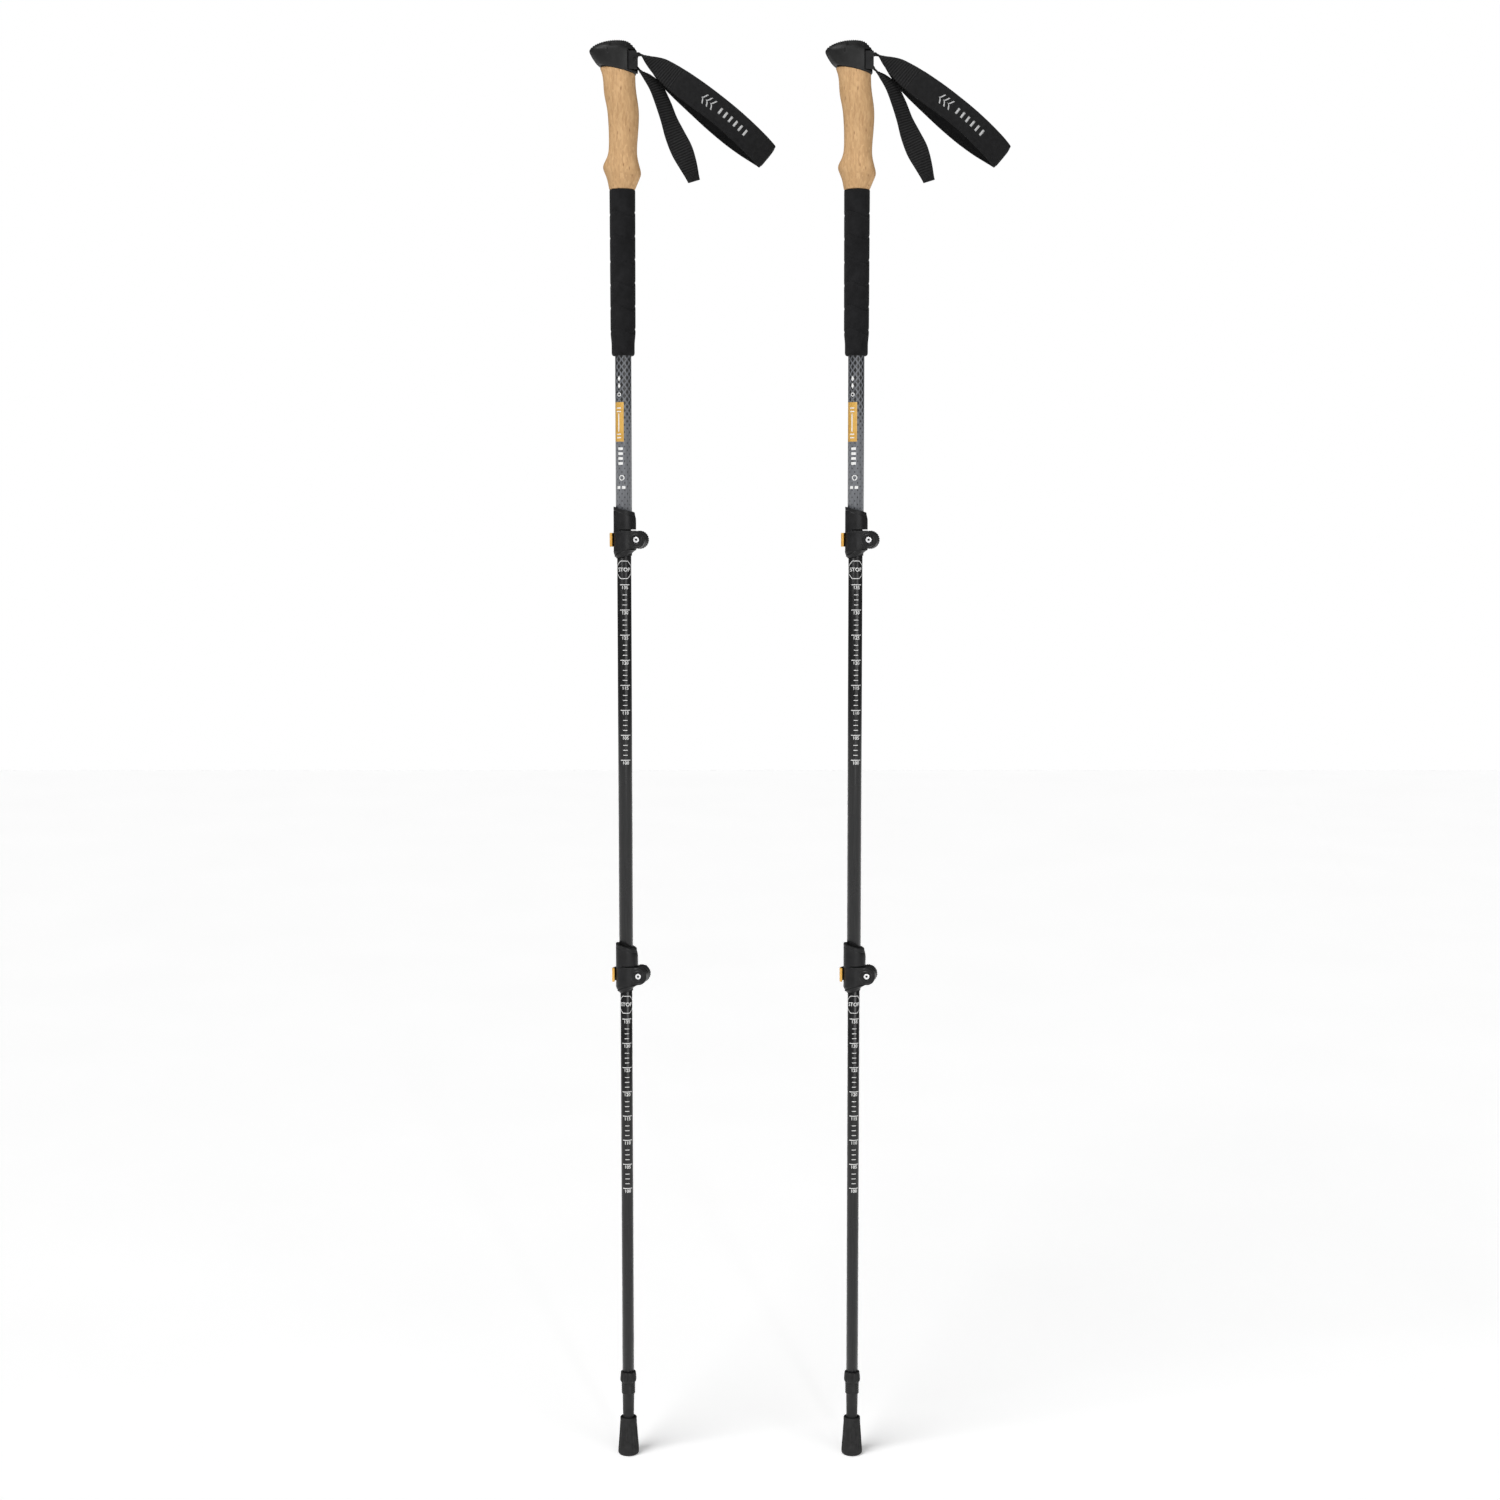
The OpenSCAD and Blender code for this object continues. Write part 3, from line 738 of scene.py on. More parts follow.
# (z, leftmost x, rightmost x, half depth)
CORK_LEVELS = [
    (1279.2, -12.4, 12.0, 12.2), (1279.9, -13.0, 12.6, 12.7), (1283, -13.5, 13.9, 13.1),
    (1287, -14.2, 15.6, 13.8), (1290, -15.0, 16.9, 14.3), (1293, -16.1, 18.2, 14.9),
    (1295.5, -17.2, 18.5, 15.2), (1298.5, -18.5, 17.9, 15.4), (1301.5, -19.0, 17.1, 15.2),
    (1304.5, -17.9, 16.3, 14.7), (1308, -16.0, 15.5, 14.2), (1311.5, -14.4, 14.8, 13.7),
    (1316, -13.3, 14.5, 13.4), (1322, -12.9, 14.7, 13.2), (1329, -12.9, 15.3, 13.3),
    (1337, -13.0, 16.0, 13.5), (1345, -13.4, 16.5, 13.7), (1352, -13.9, 16.7, 13.9),
    (1358, -14.6, 16.3, 13.9), (1364, -15.9, 15.5, 13.8), (1370, -17.2, 14.5, 13.6),
    (1376, -17.8, 13.7, 13.4), (1382, -18.0, 13.3, 13.3), (1388, -18.6, 13.2, 13.3),
    (1392, -19.7, 13.2, 13.4), (1395.5, -21.2, 13.2, 13.5),
]


def build_cork():
    bore = radius("grip_core") + 0.05
    floor = CORK_LEVELS[0][0]
    core_top = heights("grip_core")[1]
    rings = [oval(-bore, bore, bore, z, power=2) for z in (core_top, core_top - 0.3)]
    rings += [oval(-bore, bore, bore, z, power=2) for z in (floor + 0.4, floor)]
    for z, left, right, half in CORK_LEVELS:
        ceiling = (lambda x, zz=z: min(zz, joint_height(x) - 0.15))
        rings.append(oval(left, right, half, ceiling, power=2.15))
    last = CORK_LEVELS[-1]
    rings.append(oval(last[1] - 0.3, last[2] - 0.1, last[3] - 0.1,
                      lambda x: joint_height(x) - 0.12, power=2.2))
    cork = skin("cork_grip", rings, "cork")
    modify(cork, "SUBSURF", levels=1, render_levels=1)
    bake(cork)
    put(cork, "upper", "cork", "cork_grip")


def build_foam():
    """Foam sleeve with slanted finger grooves and a turned-in lower end."""
    length = FOAM_Z1 - FOAM_Z0
    groove_gap, first, count = 22.6, 24.5, 6
    steps = 220

    def groove(a, r, z):
        if r < UPPER_R + 1:
            return r
        height = z - FOAM_Z0
        wave = 1.5 * math.sin(a + 0.9) + 3.2 * math.sin(2 * a)
        depth = 0.0
        for k in range(count):
            d = (height - first - groove_gap * k - wave) / 1.15
            depth += 0.85 * math.exp(-d * d)
        return r - depth

    profile = [(UPPER_R + 0.05, FOAM_Z0 + 0.2), (9.6, FOAM_Z0), (10.6, FOAM_Z0 + 0.5),
               (11.2, FOAM_Z0 + 1.8)]
    for i in range(steps + 1):
        t = i / steps
        z = FOAM_Z0 + 3 + (length - 3.4) * t
        neck = smoothstep((z - FOAM_Z0 - 10) / 14)
        profile.append((11.35 + 0.95 * neck + 0.35 * t, z))
    profile += [(12.3, FOAM_Z1 - 0.1), (11.8, FOAM_Z1), (UPPER_R + 0.05, FOAM_Z1)]
    foam = skin("foam_grip", lathe_rings(profile, 128, groove), "foam", loop=True)
    put(foam, "upper", "foam", "foam_grip")


# ------------------------------------------------------------------ strap

def ribbon(name, points, samples, thick, material, rib, cross=16):
    """Flat strap along points of (x, y, z, width, dir x, dir y, dir z); rib is (pitch, height)."""
    path, length = smooth_curve(points, samples)
    centres = [Vector(p[:3]) for p in path]
    rings, crests = [], []
    for i, p in enumerate(path):
        ahead = centres[min(i + 1, samples - 1)] - centres[max(i - 1, 0)]
        tangent = ahead.normalized()
        side = Vector(p[4:7])
        side = (side - tangent * side.dot(tangent)).normalized()
        normal = tangent.cross(side)
        width = p[3]
        run = length * i / (samples - 1)
        wave = math.cos(2 * math.pi * run / rib[0])
        lift = -0.5 * rib[1] * wave
        end = min(run, length - run)
        slim = min(1.0, 0.55 + end / thick * 0.9)
        ring = []
        for k in range(cross):
            a = 2 * math.pi * k / cross
            c, s = math.cos(a), math.sin(a)
            u = math.copysign(abs(c) ** 0.35, c)
            v = math.copysign(abs(s) ** 0.6, s)
            edge = 1 - 0.25 * abs(u) ** 8
            half = (thick / 2 + lift * (1 - abs(u) ** 6)) * edge * slim
            ring.append(centres[i] + side * (u * width / 2) + normal * (v * half))
        rings.append(ring)
        crests += [0.5 - 0.5 * wave] * cross
    strap = skin(name, rings, material)
    # crest height of each point, 1 on a rib and 0 in its trough; the webbing material paints shade into
    # the troughs from it
    marks = strap.data.attributes.new("rib", "FLOAT", "POINT")
    marks.data.foreach_set("value", crests)
    return strap


FALL = math.radians(38)
DOWN_BAND = Vector((math.sin(FALL), 0, math.cos(FALL)))


def loop_half(sign):
    """Centre line of one half of the wrist loop, from the lock to the far fold."""
    d = DOWN_BAND
    back = 1.0 if sign > 0 else 0.0
    rows = [
        (16.2, 0.9 * sign, 1409.0 + 0.3 * back, 17.5, 0.02, 1.0, 0.0),
        (21.5, 1.5 * sign, 1407.4 + 0.4 * back, 17.8, 0.10, 0.97, 0.22),
        (29.0, 3.0 * sign, 1402.6, 18.6, 0.30, 0.70, 0.62),
        (38.0, 5.6 * sign, 1395.9, 20.5, 0.48, 0.28, 0.82),
        (48.0, 8.8 * sign, 1387.6, 23.6, d.x, 0.06, d.z),
        (60.0, 12.0 * sign, 1378.4 - 0.6 * back, 25.8, d.x, 0.04, d.z),
        (75.0, 15.0 * sign, 1367.4 - 2.6 * back, 26.6, d.x, 0.10, d.z),
        (91.0, 16.4 * sign, 1355.5 - 5.2 * back, 26.6, d.x, 0.16, d.z),
        (107.0, 15.8 * sign, 1342.8 - 5.8 * back, 26.6, d.x, 0.16, d.z),
        (121.0, 13.0 * sign, 1330.6 - 4.0 * back, 26.6, d.x, 0.10, d.z),
        (132.5, 8.4 * sign, 1320.2 - 1.6 * back, 26.4, d.x, 0.04, d.z),
        (139.6, 3.6 * sign, 1313.4, 26.2, d.x, 0.0, d.z),
        (141.6, 0.0, 1311.4, 26.2, d.x, 0.0, d.z),
    ]
    return rows


WRAP_R = 2.45            # radius of the webbing's middle round the pin
WEBBING_THICK = 1.5
RIBS = (2.6, 0.55)       # pitch and height of the webbing's ribs


def build_webbing():
    """Narrow strap in one run from the loop's front half, round the pin and down the tail."""
    front, back = loop_half(-1)[:6], loop_half(1)[:6]
    wrap = []
    for degrees in range(75, 271, 39):
        a = math.radians(degrees)
        wrap.append((PIN_X + WRAP_R * math.cos(a), 0.0, PIN_Z + WRAP_R * math.sin(a),
                     17.6, 0.0, 1.0, 0.0))
    tail = [
        (14.4, 0.0, 1397.9, 17.8, 0.0, 1.0, 0.0),
        (18.4, -0.4, 1393.3, 17.8, 0.12, 0.98, 0.16),
        (25.0, -1.2, 1387.6, 18.0, 0.42, 0.86, 0.30),
        (33.5, -2.2, 1377.2, 18.0, 0.62, 0.66, 0.42),
        (40.4, -3.0, 1361.8, 18.0, 0.80, 0.52, 0.30),
        (46.2, -3.4, 1345.8, 18.0, 0.88, 0.40, 0.30),
        (52.0, -3.6, 1331.0, 20.0, 0.90, 0.10, 0.42),
        (58.4, -3.4, 1317.0, 21.5, 0.90, -0.02, 0.42),
        (64.4, -3.0, 1303.2, 18.5, 0.92, 0.20, 0.34),
        (69.2, -2.6, 1290.6, 14.0, 0.92, 0.36, 0.24),
        (70.4, -2.5, 1287.2, 13.2, 0.92, 0.38, 0.24),
    ]
    strap = ribbon("front_run", front[::-1] + wrap + tail, 760, WEBBING_THICK, "webbing", RIBS)
    second = ribbon("back_run", back, 260, WEBBING_THICK, "webbing", RIBS)
    webbing = joined("strap_webbing", [strap, second, tail_fold(tail[-3:])])
    put(webbing, "strap", "webbing", "strap_webbing")


def tail_fold(rows):
    """The tail's folded and stitched end: a second layer over its last few millimetres."""
    first = tuple(a * 0.45 + b * 0.55 for a, b in zip(rows[0], rows[1]))
    fold = [row[:3] + (row[3] - 1.2,) + row[4:] for row in (first, rows[1], rows[2])]
    return ribbon("tail_fold", fold, 60, 3.0, "webbing", (1.3, 0.4))


def band_rings(points, samples, thick):
    """Padded band: a pillow section with a stitched rim on each edge."""
    path, length = smooth_curve(points, samples)
    centres = [Vector(p[:3]) for p in path]
    cross = 64
    rings = []
    for i, p in enumerate(path):
        tangent = (centres[min(i + 1, samples - 1)] - centres[max(i - 1, 0)]).normalized()
        side = Vector(p[4:7])
        side = (side - tangent * side.dot(tangent)).normalized()
        normal = tangent.cross(side)
        run = length * i / (samples - 1)
        end = min(run, length - run)
        taper = min(1.0, 0.4 + end / 7.0)
        ring = []
        for k in range(cross):
            a = 2 * math.pi * k / cross
            c, s = math.cos(a), math.sin(a)
            u = math.copysign(abs(c) ** 0.45, c)
            v = math.copysign(abs(s) ** 0.7, s)
            pillow = 0.60 + 0.40 * (1 - abs(u) ** 4)
            stitch = math.exp(-((abs(u) - 0.84) / 0.05) ** 2)
            dimple = 0.5 + 0.5 * math.cos(2 * math.pi * run / 3.0)
            half = thick / 2 * (pillow - 0.30 * stitch * (0.55 + 0.45 * dimple)) * taper
            puff = 0.20 * noise.noise(Vector((run * 0.09, u * 1.3, 3.0)))
            ring.append(centres[i] + side * (u * p[3] / 2) + normal * (v * half * (1 + puff)))
        rings.append(ring)
    return rings, length


def band_points():
    front, back = loop_half(-1), loop_half(1)
    start = [tuple((a + b) / 2 for a, b in zip(front[4], front[5]))]
    rows = start + front[5:] + list(reversed(back[5:-1]))
    rows += [tuple((a + b) / 2 for a, b in zip(back[4], back[5]))]
    return rows


def build_band():
    rings, length = band_rings(band_points(), 420, 3.9)
    band = skin("strap_band", rings, "band")
    pair = put(band, "strap", "padded_band", "strap_band")
    build_band_print(rings, length)


def band_face_point(rings, length, run, across):
    """A point just proud of the band's outer face, run mm along it."""
    samples, cross = len(rings), len(rings[0])
    i = min(max(run / length * (samples - 1), 0), samples - 1.001)
    a, t = int(i), i - int(i)
    u = max(-0.999, min(0.999, across))
    angle = math.acos(math.copysign(abs(u) ** (1 / 0.45), u))
    k = angle / (2 * math.pi) * cross % cross
    b, w = int(k) % cross, k - int(k)
    c = (b + 1) % cross
    near = rings[a][b] * (1 - w) + rings[a][c] * w
    far = rings[a + 1][b] * (1 - w) + rings[a + 1][c] * w
    middle = sum((rings[a][j] for j in range(cross)), Vector()) / cross
    normal = (rings[a][cross // 4] - middle).normalized()
    return near * (1 - t) + far * t + normal * 0.07


def print_patch(verts, faces, place, corners, steps=6):
    """A small printed quadrilateral between four (run, across) corners."""
    base = len(verts)
    for i in range(steps + 1):
        for j in range(3):
            s, t = i / steps, j / 2
            left = [corners[0][q] + (corners[1][q] - corners[0][q]) * s for q in (0, 1)]
            right = [corners[3][q] + (corners[2][q] - corners[3][q]) * s for q in (0, 1)]
            verts.append(place(*[left[q] + (right[q] - left[q]) * t for q in (0, 1)]))
    for i in range(steps):
        for j in range(2):
            a = base + i * 3 + j
            faces.append((a, a + 3, a + 4, a + 1))


def build_band_print(rings, length):
    """Pale printed chevrons and bars on the outside of the front half."""
    verts, faces = [], []
    start = 30.0

    def place(run, across):
        return band_face_point(rings, length, run, across)

    for k in range(3):
        x = start + 5.2 * k
        for tip in (0.42, -0.38):
            corners = [(x, 0.02), (x + 4.0, tip), (x + 5.4, tip), (x + 1.4, 0.02)]
            print_patch(verts, faces, place, corners)
    for k in range(6):
        x = start + 22.0 + 6.2 * k
        corners = [(x, -0.30), (x, 0.30), (x + 2.2, 0.30), (x + 2.2, -0.30)]
        print_patch(verts, faces, place, corners)
    mark = make_object("band_print", verts, faces, "grey_ink")
    modify(mark, "SOLIDIFY", thickness=0.05 * MM, offset=-1)
    bake(mark)
    put(mark, "strap", "padded_band")


def build_lock():
    softened_copy("strap_lock", "clamp", 0.25, 3, "lock", "clamp_plastic")
    pin = cad_copy("strap_pin", "clamp")
    soften(pin, 0.2, 1)
    reshape(pin, lambda x, y, z: (x, y * 0.95, z))
    put(pin, "lock", "steel", "strap_pin")


# ------------------------------------------------------------------ clamps

def clamp_matrix(name):
    return (Matrix.Translation((0, 0, BOLT_Z[name] * MM)) @ Matrix.Rotation(-CLAMP_YAW, 4, "Z"))


def bolt_offset():
    """Distance of the bolt's axis from the pole's axis, in millimetres."""
    x, y, _ = JOINTS["left_upper_lever_turn"]["pos_m"]
    local = Matrix.Rotation(CLAMP_YAW, 3, "Z") @ Vector((x - POLE_X["left"], y, 0))
    return local.x / MM, local.y / MM


BOLT_X, BARREL_Y = bolt_offset()
EAR_NEAR = -9.3          # outer face of the ear nearest the camera's side
RECESS = 3.0             # depth of the bolt's recess in it
HEAD_R, CAP_H = 3.3, 2.6  # the bolt's cap head


def along_bolt(name, profile, material, count=64, shape=None):
    """Turned piece about the bolt's axis; profile holds (radius, y) pairs in the clamp's frame."""
    obj = skin(name, lathe_rings(profile, count, shape), material)
    turn = Matrix.Translation((BOLT_X * MM, 0, 0)) @ Matrix.Rotation(-math.pi / 2, 4, "X")
    obj.data.transform(turn)
    return obj


def boss_rings():
    """Raised rings round the bolt on the near ear."""
    y = EAR_NEAR
    profile = [(4.15, y + 0.6), (4.15, y - 0.35), (4.45, y - 0.6), (5.3, y - 0.6), (5.7, y - 0.3),
               (5.9, y + 0.1), (6.9, y + 0.1), (7.2, y - 0.25), (7.6, y - 0.5), (8.1, y - 0.4),
               (8.55, y + 0.1), (8.55, y + 1.2)]
    return along_bolt("boss", profile, "clamp")


def collar_shape(bore):
    """Slants the lip, chamfers its corners and draws in the sleeve's top, about the pole's axis."""
    def place(x, y, z):
        r = math.hypot(x, y)
        if r < bore + 0.8 or r < 1:
            grow = 0.0
        else:
            right = max(x, 0.0) / r
            grow = -1.5 * smoothstep((-14.2 - z) / 2.8)
            grow -= 2.4 * smoothstep((-9.8 - z) / 5.5) * right * right
            grow -= 1.3 * smoothstep((z - 19) / 8) * right * right
            grow = max(grow, bore + 0.8 - r)
        k = (r + grow) / r if r > 1 else 1.0
        lean = 0.17 * x * smoothstep((-8.5 - z) / 7)
        return x * k, y * k, z + lean
    return place


def collar_detail(x, y, z, normal):
    """Slanted parting line above the lip, a wavy bead by the slit and a thin slanted groove near the
    sleeve's top.
    """
    outward = smoothstep((normal.x * x + normal.y * y) / max(math.hypot(x, y), 1) / 0.6)
    r = math.hypot(x, y)
    if r < 8.5 or x > 11.5:
        return 0.0
    line = z + 11.6 - 0.25 * x
    move = -0.55 * ridge(line, 0.4) + 0.2 * ridge(line + 1.0, 0.5)
    move += 0.16 * ridge(z - 7.6 - 0.35 * math.sin(0.9 * x), 0.5)
    move -= 0.3 * ridge(z - 26.5 + 0.27 * x, 0.35)
    return move * outward


def build_collar(name, body, frame_of):
    collar = cad_copy(name + "_collar", "clamp")
    boss = boss_rings()
    boss.data.transform(frame_of)
    collar = joined(name + "_collar", [collar, boss])
    soften(collar, 0.32, 2)
    collar.data.transform(frame_of.inverted())
    press(collar, collar_detail)
    reshape(collar, collar_shape(MIDDLE_R if name == "upper" else LOWER_R))
    collar.data.transform(frame_of)
    put(collar, body, "clamp_plastic", name + "_collar")


def build_bolt(name, body, frame_of):
    face = EAR_NEAR + RECESS - CAP_H
    bolt = along_bolt(name + "_bolt", bolt_profile(face), "bolt", 48)
    cut(bolt, along_bolt("socket", [(1.3, face - 1), (1.3, face + 0.35)], "bolt", 6))
    modify(bolt, "BEVEL", width=0.12 * MM, segments=2, limit_method="ANGLE")
    bake(bolt)
    bolt.data.transform(frame_of)
    bolt.data.shade_smooth()
    put(bolt, body, "bolt_steel", name + "_bolt")


def softened_copy(part, material, voxel_mm, passes, body, slot):
    piece = cad_copy(part, material)
    soften(piece, voxel_mm, passes)
    put(piece, body, slot, part)


def build_clamp(name, body):
    """One clamp: name says which, body is the section its collar is fixed to."""
    frame_of = clamp_matrix(name)
    build_collar(name, body, frame_of)
    build_bolt(name, body, frame_of)
    dial = along_bolt(name + "_dial", dial_profile(), "clamp", 240, knurl)
    dial.data.transform(frame_of)
    put(dial, name + "_dial", "clamp_plastic", name + "_dial")
    lever_body = name + "_lever"
    softened_copy(name + "_lever", "clamp", 0.25, 3, lever_body, "clamp_plastic")
    softened_copy(name + "_lever_tab", "tab", 0.25, 14, lever_body, "tab_plastic")
    softened_copy(name + "_barrel", "steel", 0.2, 1, body, "steel")


def bolt_profile(face):
    """Domed cap head, neck and shank."""
    return [(0.01, face + 0.02), (2.2, face), (2.8, face + 0.15), (3.15, face + 0.5),
            (HEAD_R, face + 1.0), (HEAD_R, face + CAP_H), (2.0, face + CAP_H), (2.0, BARREL_Y - 0.3),
            (1.7, BARREL_Y), (0.01, BARREL_Y)]


def dial_profile():
    return [(2.08, 3.6), (4.3, 3.6), (4.4, 3.9), (4.4, 7.62), (7.9, 7.62), (8.7, 7.75),
            (9.1, 8.2), (9.1, 9.2), (9.1, 10.4), (9.1, 11.3), (8.7, 11.8), (7.8, 12.0),
            (6.8, 12.0), (6.6, 11.8), (5.2, 11.8), (5.0, 12.0), (2.3, 12.0), (2.08, 11.8)]


def knurl(a, r, y):
    """Scalloped rim of the thumb wheel."""
    if r < 8.5:
        return r
    return r - 0.55 * (1 - abs(math.sin(12 * a)) ** 0.6)


# ------------------------------------------------------------------ shafts and print

TUBE_WALL = 0.8


def build_shafts():
    for body, outer, material in (("upper", UPPER_R, "upper_carbon"),
                                  ("middle", MIDDLE_R, "dark_carbon"),
                                  ("lower", LOWER_R, "dark_carbon")):
        name = body + "_shaft"
        low, high = heights(name)
        shaft = tube(name, outer, outer - TUBE_WALL, low, high, material)
        put(shaft, body, material, name)


def wrap(obj, shaft_r, angle, z):
    """Bends a flat piece in the XY plane round the shaft, its middle at the angle and height."""
    bm = bmesh.new()
    bm.from_mesh(obj.data)
    xs = [v.co.x for v in bm.verts]
    step = 0.6 * MM
    x = min(xs) + step
    while x < max(xs):
        geometry = bm.verts[:] + bm.edges[:] + bm.faces[:]
        bmesh.ops.bisect_plane(bm, geom=geometry, plane_co=(x, 0, 0), plane_no=(1, 0, 0))
        x += step
    for v in bm.verts:
        r = shaft_r * MM + 0.03 * MM + v.co.z
        a = angle + v.co.x / (shaft_r * MM)
        v.co = Vector((r * math.cos(a), r * math.sin(a), z * MM + v.co.y))
    bm.to_mesh(obj.data)
    bm.free()


def flat_shapes(name, polygons, material):
    """Thin printed shapes from lists of (x, y) corners."""
    verts, faces = [], []
    for points in polygons:
        base = len(verts)
        verts += [(x, y, 0) for x, y in points]
        faces.append(tuple(range(base, base + len(points))))
    return make_object(name, verts, faces, material, smooth=False)


def text_shape(text, size, weight=0.08):
    curve = bpy.data.curves.new("text", "FONT")
    curve.body = text
    curve.size = size * MM
    curve.align_x = "CENTER"
    curve.align_y = "CENTER"
    curve.resolution_u = 3
    curve.offset = weight * MM
    obj = linked("text", curve)
    graph = bpy.context.evaluated_depsgraph_get()
    mesh = bpy.data.meshes.new_from_object(obj.evaluated_get(graph))
    mesh.materials.clear()
    mesh.materials.append(MATERIALS["ink"])
    out = linked("text_mesh", mesh)
    remove(obj)
    return out


def bar(x0, x1, y0, y1):
    return [(x0, y0), (x1, y0), (x1, y1), (x0, y1)]


def octagon_ring(half, line):
    """The eight sides of an octagon outline, as quadrilaterals."""
    outer = [(half / math.cos(math.pi / 8) * math.cos(math.pi / 8 + k * math.pi / 4),
              half / math.cos(math.pi / 8) * math.sin(math.pi / 8 + k * math.pi / 4))
             for k in range(8)]
    inner = [(x * (half - line) / half, y * (half - line) / half) for x, y in outer]
    return [[outer[k], outer[(k + 1) % 8], inner[(k + 1) % 8], inner[k]] for k in range(8)]


FACING = -math.pi / 2


def finish_print(name, parts, body, slot):
    print_piece = joined(name, parts)
    modify(print_piece, "SOLIDIFY", thickness=0.03 * MM, offset=0)
    bake(print_piece)
    mend_normals(print_piece)
    put(print_piece, body, slot)


def build_scale(name, shaft_r, lip, body):
    """Stop mark, then a figure and a long mark every 25 mm with three short marks under it."""
    first, pitch, minor = 27.5, 25.0, 5.0
    turn = 0.10
    octagon = flat_shapes("octagon", octagon_ring(9.0, 0.6), "ink")
    wrap(octagon, shaft_r, FACING + 0.02, lip - 12.7)
    word = text_shape("STOP", 5.4)
    wrap(word, shaft_r, FACING + 0.02, lip - 12.7)
    marks = [octagon, word]
    for k in range(8):
        z = lip - first - pitch * k
        line = flat_shapes("line", [bar(-5.0, 5.4, -0.35, 0.35)], "ink")
        wrap(line, shaft_r, FACING + turn, z)
        figure = text_shape(str(135 - 5 * k), 4.6)
        wrap(figure, shaft_r, FACING + turn + 0.03, z - 2.9)
        marks += [line, figure]
        if k < 7:
            ticks = [bar(-2.2, 2.2, -minor * j - 0.3, -minor * j + 0.3) for j in range(2, 5)]
            short = flat_shapes("ticks", ticks, "ink")
            wrap(short, shaft_r, FACING + turn, z)
            marks.append(short)
    finish_print(name + "_scale", marks, body, "bolt_steel")


def wrapped(name, polygons, material, radius_mm, turn, z):
    """Flat shapes printed on a shaft, turned from its front by an angle."""
    shapes = flat_shapes(name, polygons, material)
    wrap(shapes, radius_mm, FACING + turn, z)
    return shapes


def build_upper_print():
    """Orange label and small plain marks on the upper shaft."""
    label_low, label_high = 1034.5, 1073.0
    half = (label_high - label_low) / 2
    middle = (label_low + label_high) / 2
    label = wrapped("label", [bar(-9.5, 3.2, -half, half)], "label", UPPER_R, -0.32, middle)
    pale = [bar(-4.4, 0.4, y, y + 1.1) for y in (-16.0, -12.6, 9.6, 13.0)]
    pale += [bar(-2.6, -1.4, -9.4, 8.2)]
    stripes = wrapped("stripes", pale, "ink", UPPER_R + 0.04, -0.32, middle)
    diamond = [(0, 2.8), (1.5, 0), (0, -2.8), (-1.5, 0)]
    small = [wrapped("mark", [diamond], "ink", UPPER_R, -0.5, z) for z in (1096.0, 1089.0)]
    ring = wrapped("ring", octagon_ring(1.9, 0.7), "ink", UPPER_R, -0.5, 1080.5)
    blocks = [bar(-2.4, 2.4, y, y + 2.6) for y in (-9.2, -4.4, 0.4, 5.2)]
    bars = wrapped("bars", blocks, "ink", UPPER_R, -0.35, 1021.0)
    lower = wrapped("lower_marks", octagon_ring(2.6, 0.8), "ink", UPPER_R, -0.2, 999.0)
    pair = [bar(-4.6, -1.2, -1.4, 1.4), bar(0.6, 4.0, -1.4, 1.4)]
    squares = wrapped("squares", pair, "ink", UPPER_R, -0.25, 989.5)
    finish_print("upper_label", [label], "upper", "tab_plastic")
    marks = [stripes, ring, bars, lower, squares] + small
    finish_print("upper_marks", marks, "upper", "bolt_steel")


# ------------------------------------------------------------------ tip and foot

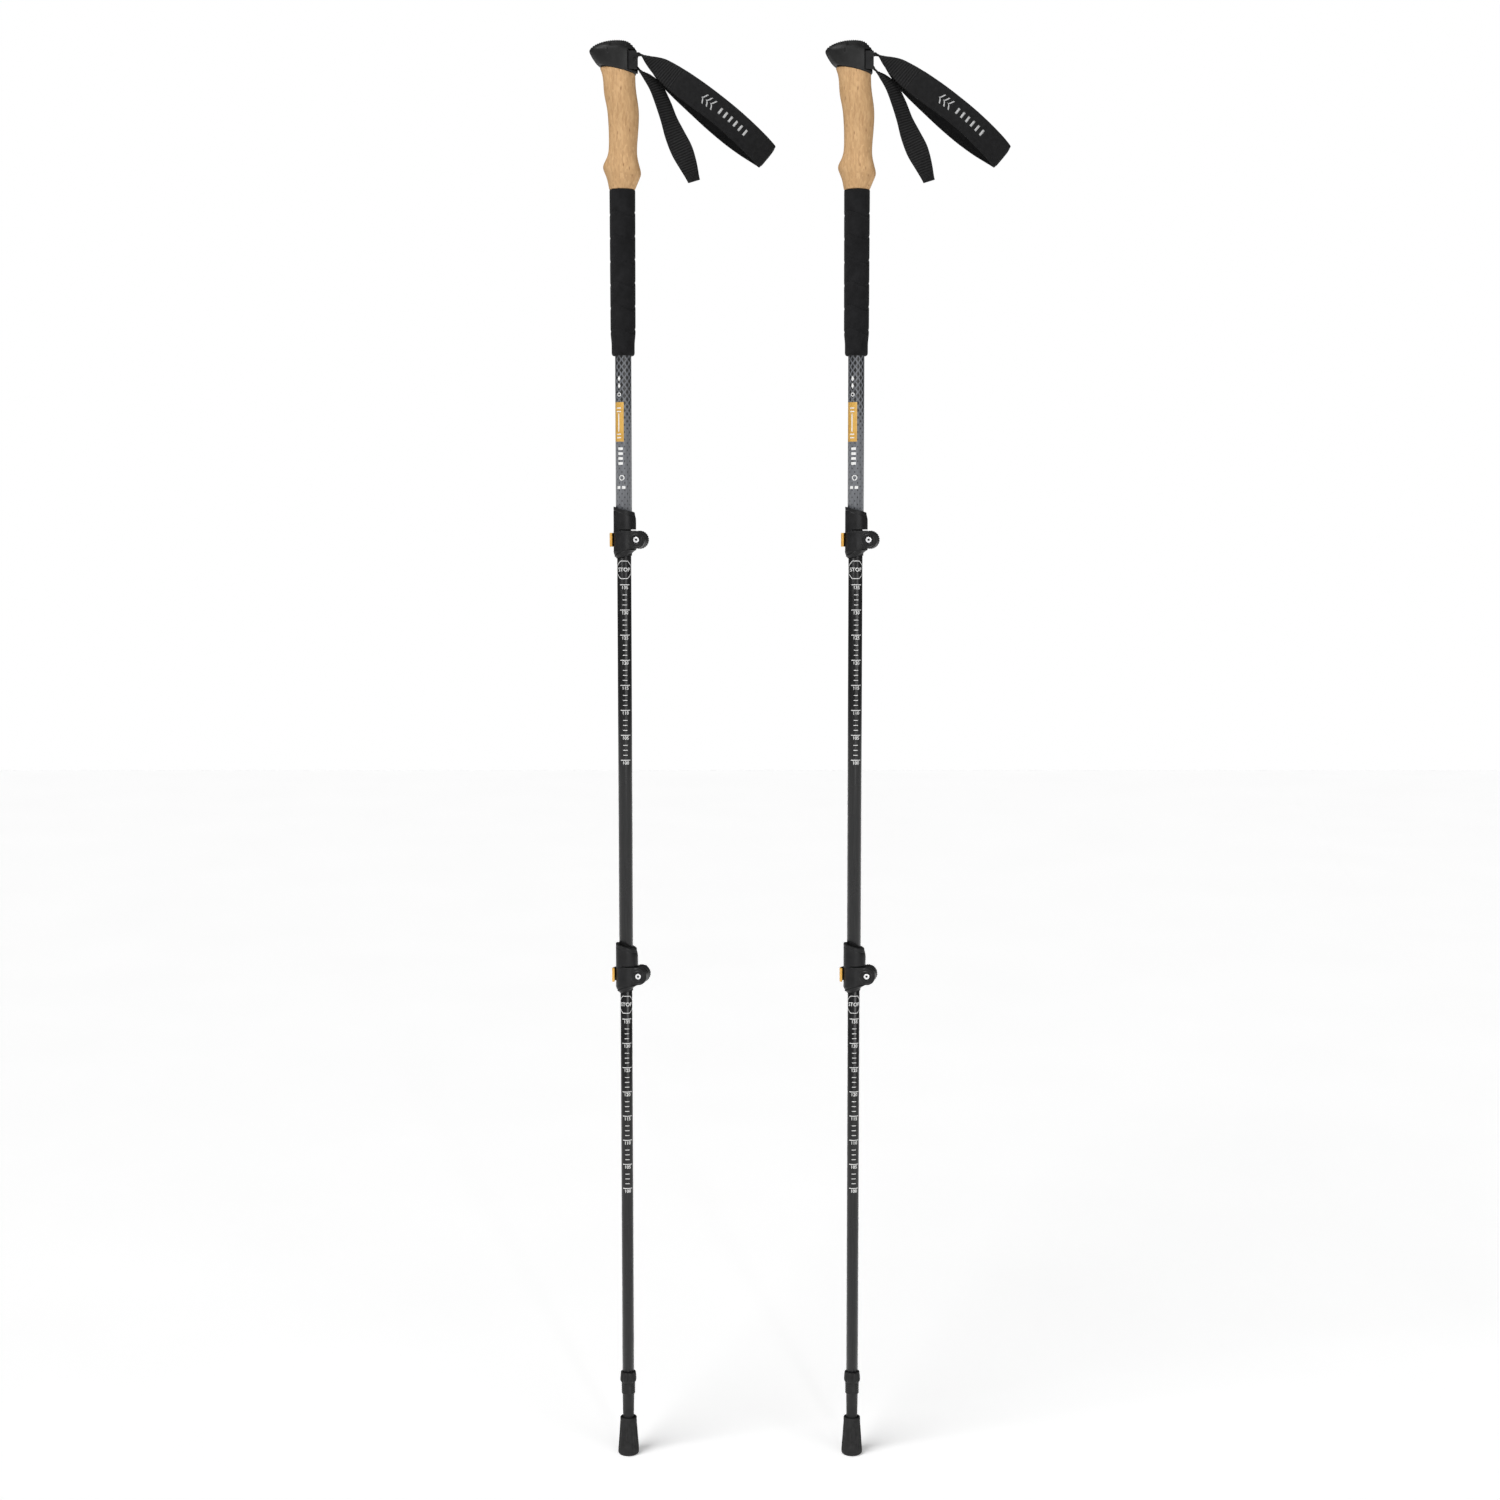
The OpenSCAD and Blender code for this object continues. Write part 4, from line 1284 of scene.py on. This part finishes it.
def build_tip():
    notches = 8

    def collar(a, r, z):
        if z > TIP_TOP - 10.2 and r > 7.2:
            return r - 0.9 * max(0.0, math.cos(notches * a)) ** 2
        return r

    profile = [(2.25, TIP_Z0), (4.3, TIP_Z0), (4.6, TIP_Z0 + 0.4), (5.65, 41), (5.95, 63.4)]
    for k in range(5):
        z = 64.2 + 2.3 * k
        profile += [(6.7, z), (7.0, z + 0.5), (7.0, z + 1.3), (6.7, z + 1.8)]
    profile += [(6.95, 76.4), (7.9, 76.9), (8.3, 78.2), (8.4, 79.5), (8.25, 82), (7.95, 85),
                (7.7, 86.6), (7.3, TIP_TOP), (6.1, TIP_TOP), (6.05, TIP_TOP - 0.4)]
    rings = lathe_rings(profile, 160, collar)
    tip = skin("tip_holder", rings, "head")
    put(tip, "lower", "head_plastic", "tip_holder")
    z0, z1 = heights("carbide_tip")
    points = [(0.02, z0), (0.8, z0), (1.1, z0 + 0.6), (1.2, z0 + 1.6), (2.1, z0 + 4.8),
              (2.2, z0 + 5.4), (2.2, z1 - 0.2), (2.0, z1), (0.02, z1)]
    put(lathe("carbide_tip", points, "steel", 64), "lower", "steel", "carbide_tip")


def build_foot():
    """Rubber foot: slim flutes and a rounded tread edge."""
    flutes = 12

    def shape(a, r, z):
        if r < 6.6 or z > FOOT_TOP - 1.4:
            return r
        middle = math.exp(-((z - 17) / 13.0) ** 4)
        return r - 0.6 * middle * (0.5 + 0.5 * math.cos(flutes * a)) ** 2

    profile = [(0.02, 0.0), (4, 0.0), (7.6, 0.0), (9.2, 0.2), (10.1, 0.8), (10.6, 1.8), (10.75, 3.2),
               (10.75, 5.0), (10.65, 7.0)]
    profile += [(10.55 - 1.75 * t / 20, 8 + 23 * t / 20) for t in range(1, 21)]
    profile += [(8.6, 33.5), (8.5, 36.5), (8.5, 38.3), (8.25, 39.0), (7.7, FOOT_TOP), (7.0, 39.1),
                (6.4, 38.7), (6.2, 37.6), (6.1, 36), (4.85, 20), (2.6, 19.7), (2.6, 8.6), (0.02, 8.5)]
    rings = lathe_rings(profile, 192, shape)
    put(skin("rubber_foot", rings, "rubber"), "foot", "foot_rubber", "rubber_foot")


def dress_inner_parts():
    """Guide plugs and grip core keep their CAD shape with a moulded finish."""
    for side in SIDES:
        for part in ("middle_guide", "lower_guide", "grip_core"):
            node = frame["nodes"][f"{side}_{part}"]
            node.data.materials.clear()
            node.data.materials.append(MATERIALS["inner"])


make_camera()
make_materials()
make_studio()
build_head()
build_cork()
build_foam()
build_lock()
build_webbing()
build_band()
build_clamp("upper", "upper")
build_clamp("lower", "middle")
build_shafts()
build_scale("middle", MIDDLE_R, UPPER_LIP, "middle")
build_scale("lower", LOWER_R, LOWER_LIP, "lower")
build_upper_print()
build_tip()
build_foot()
dress_inner_parts()
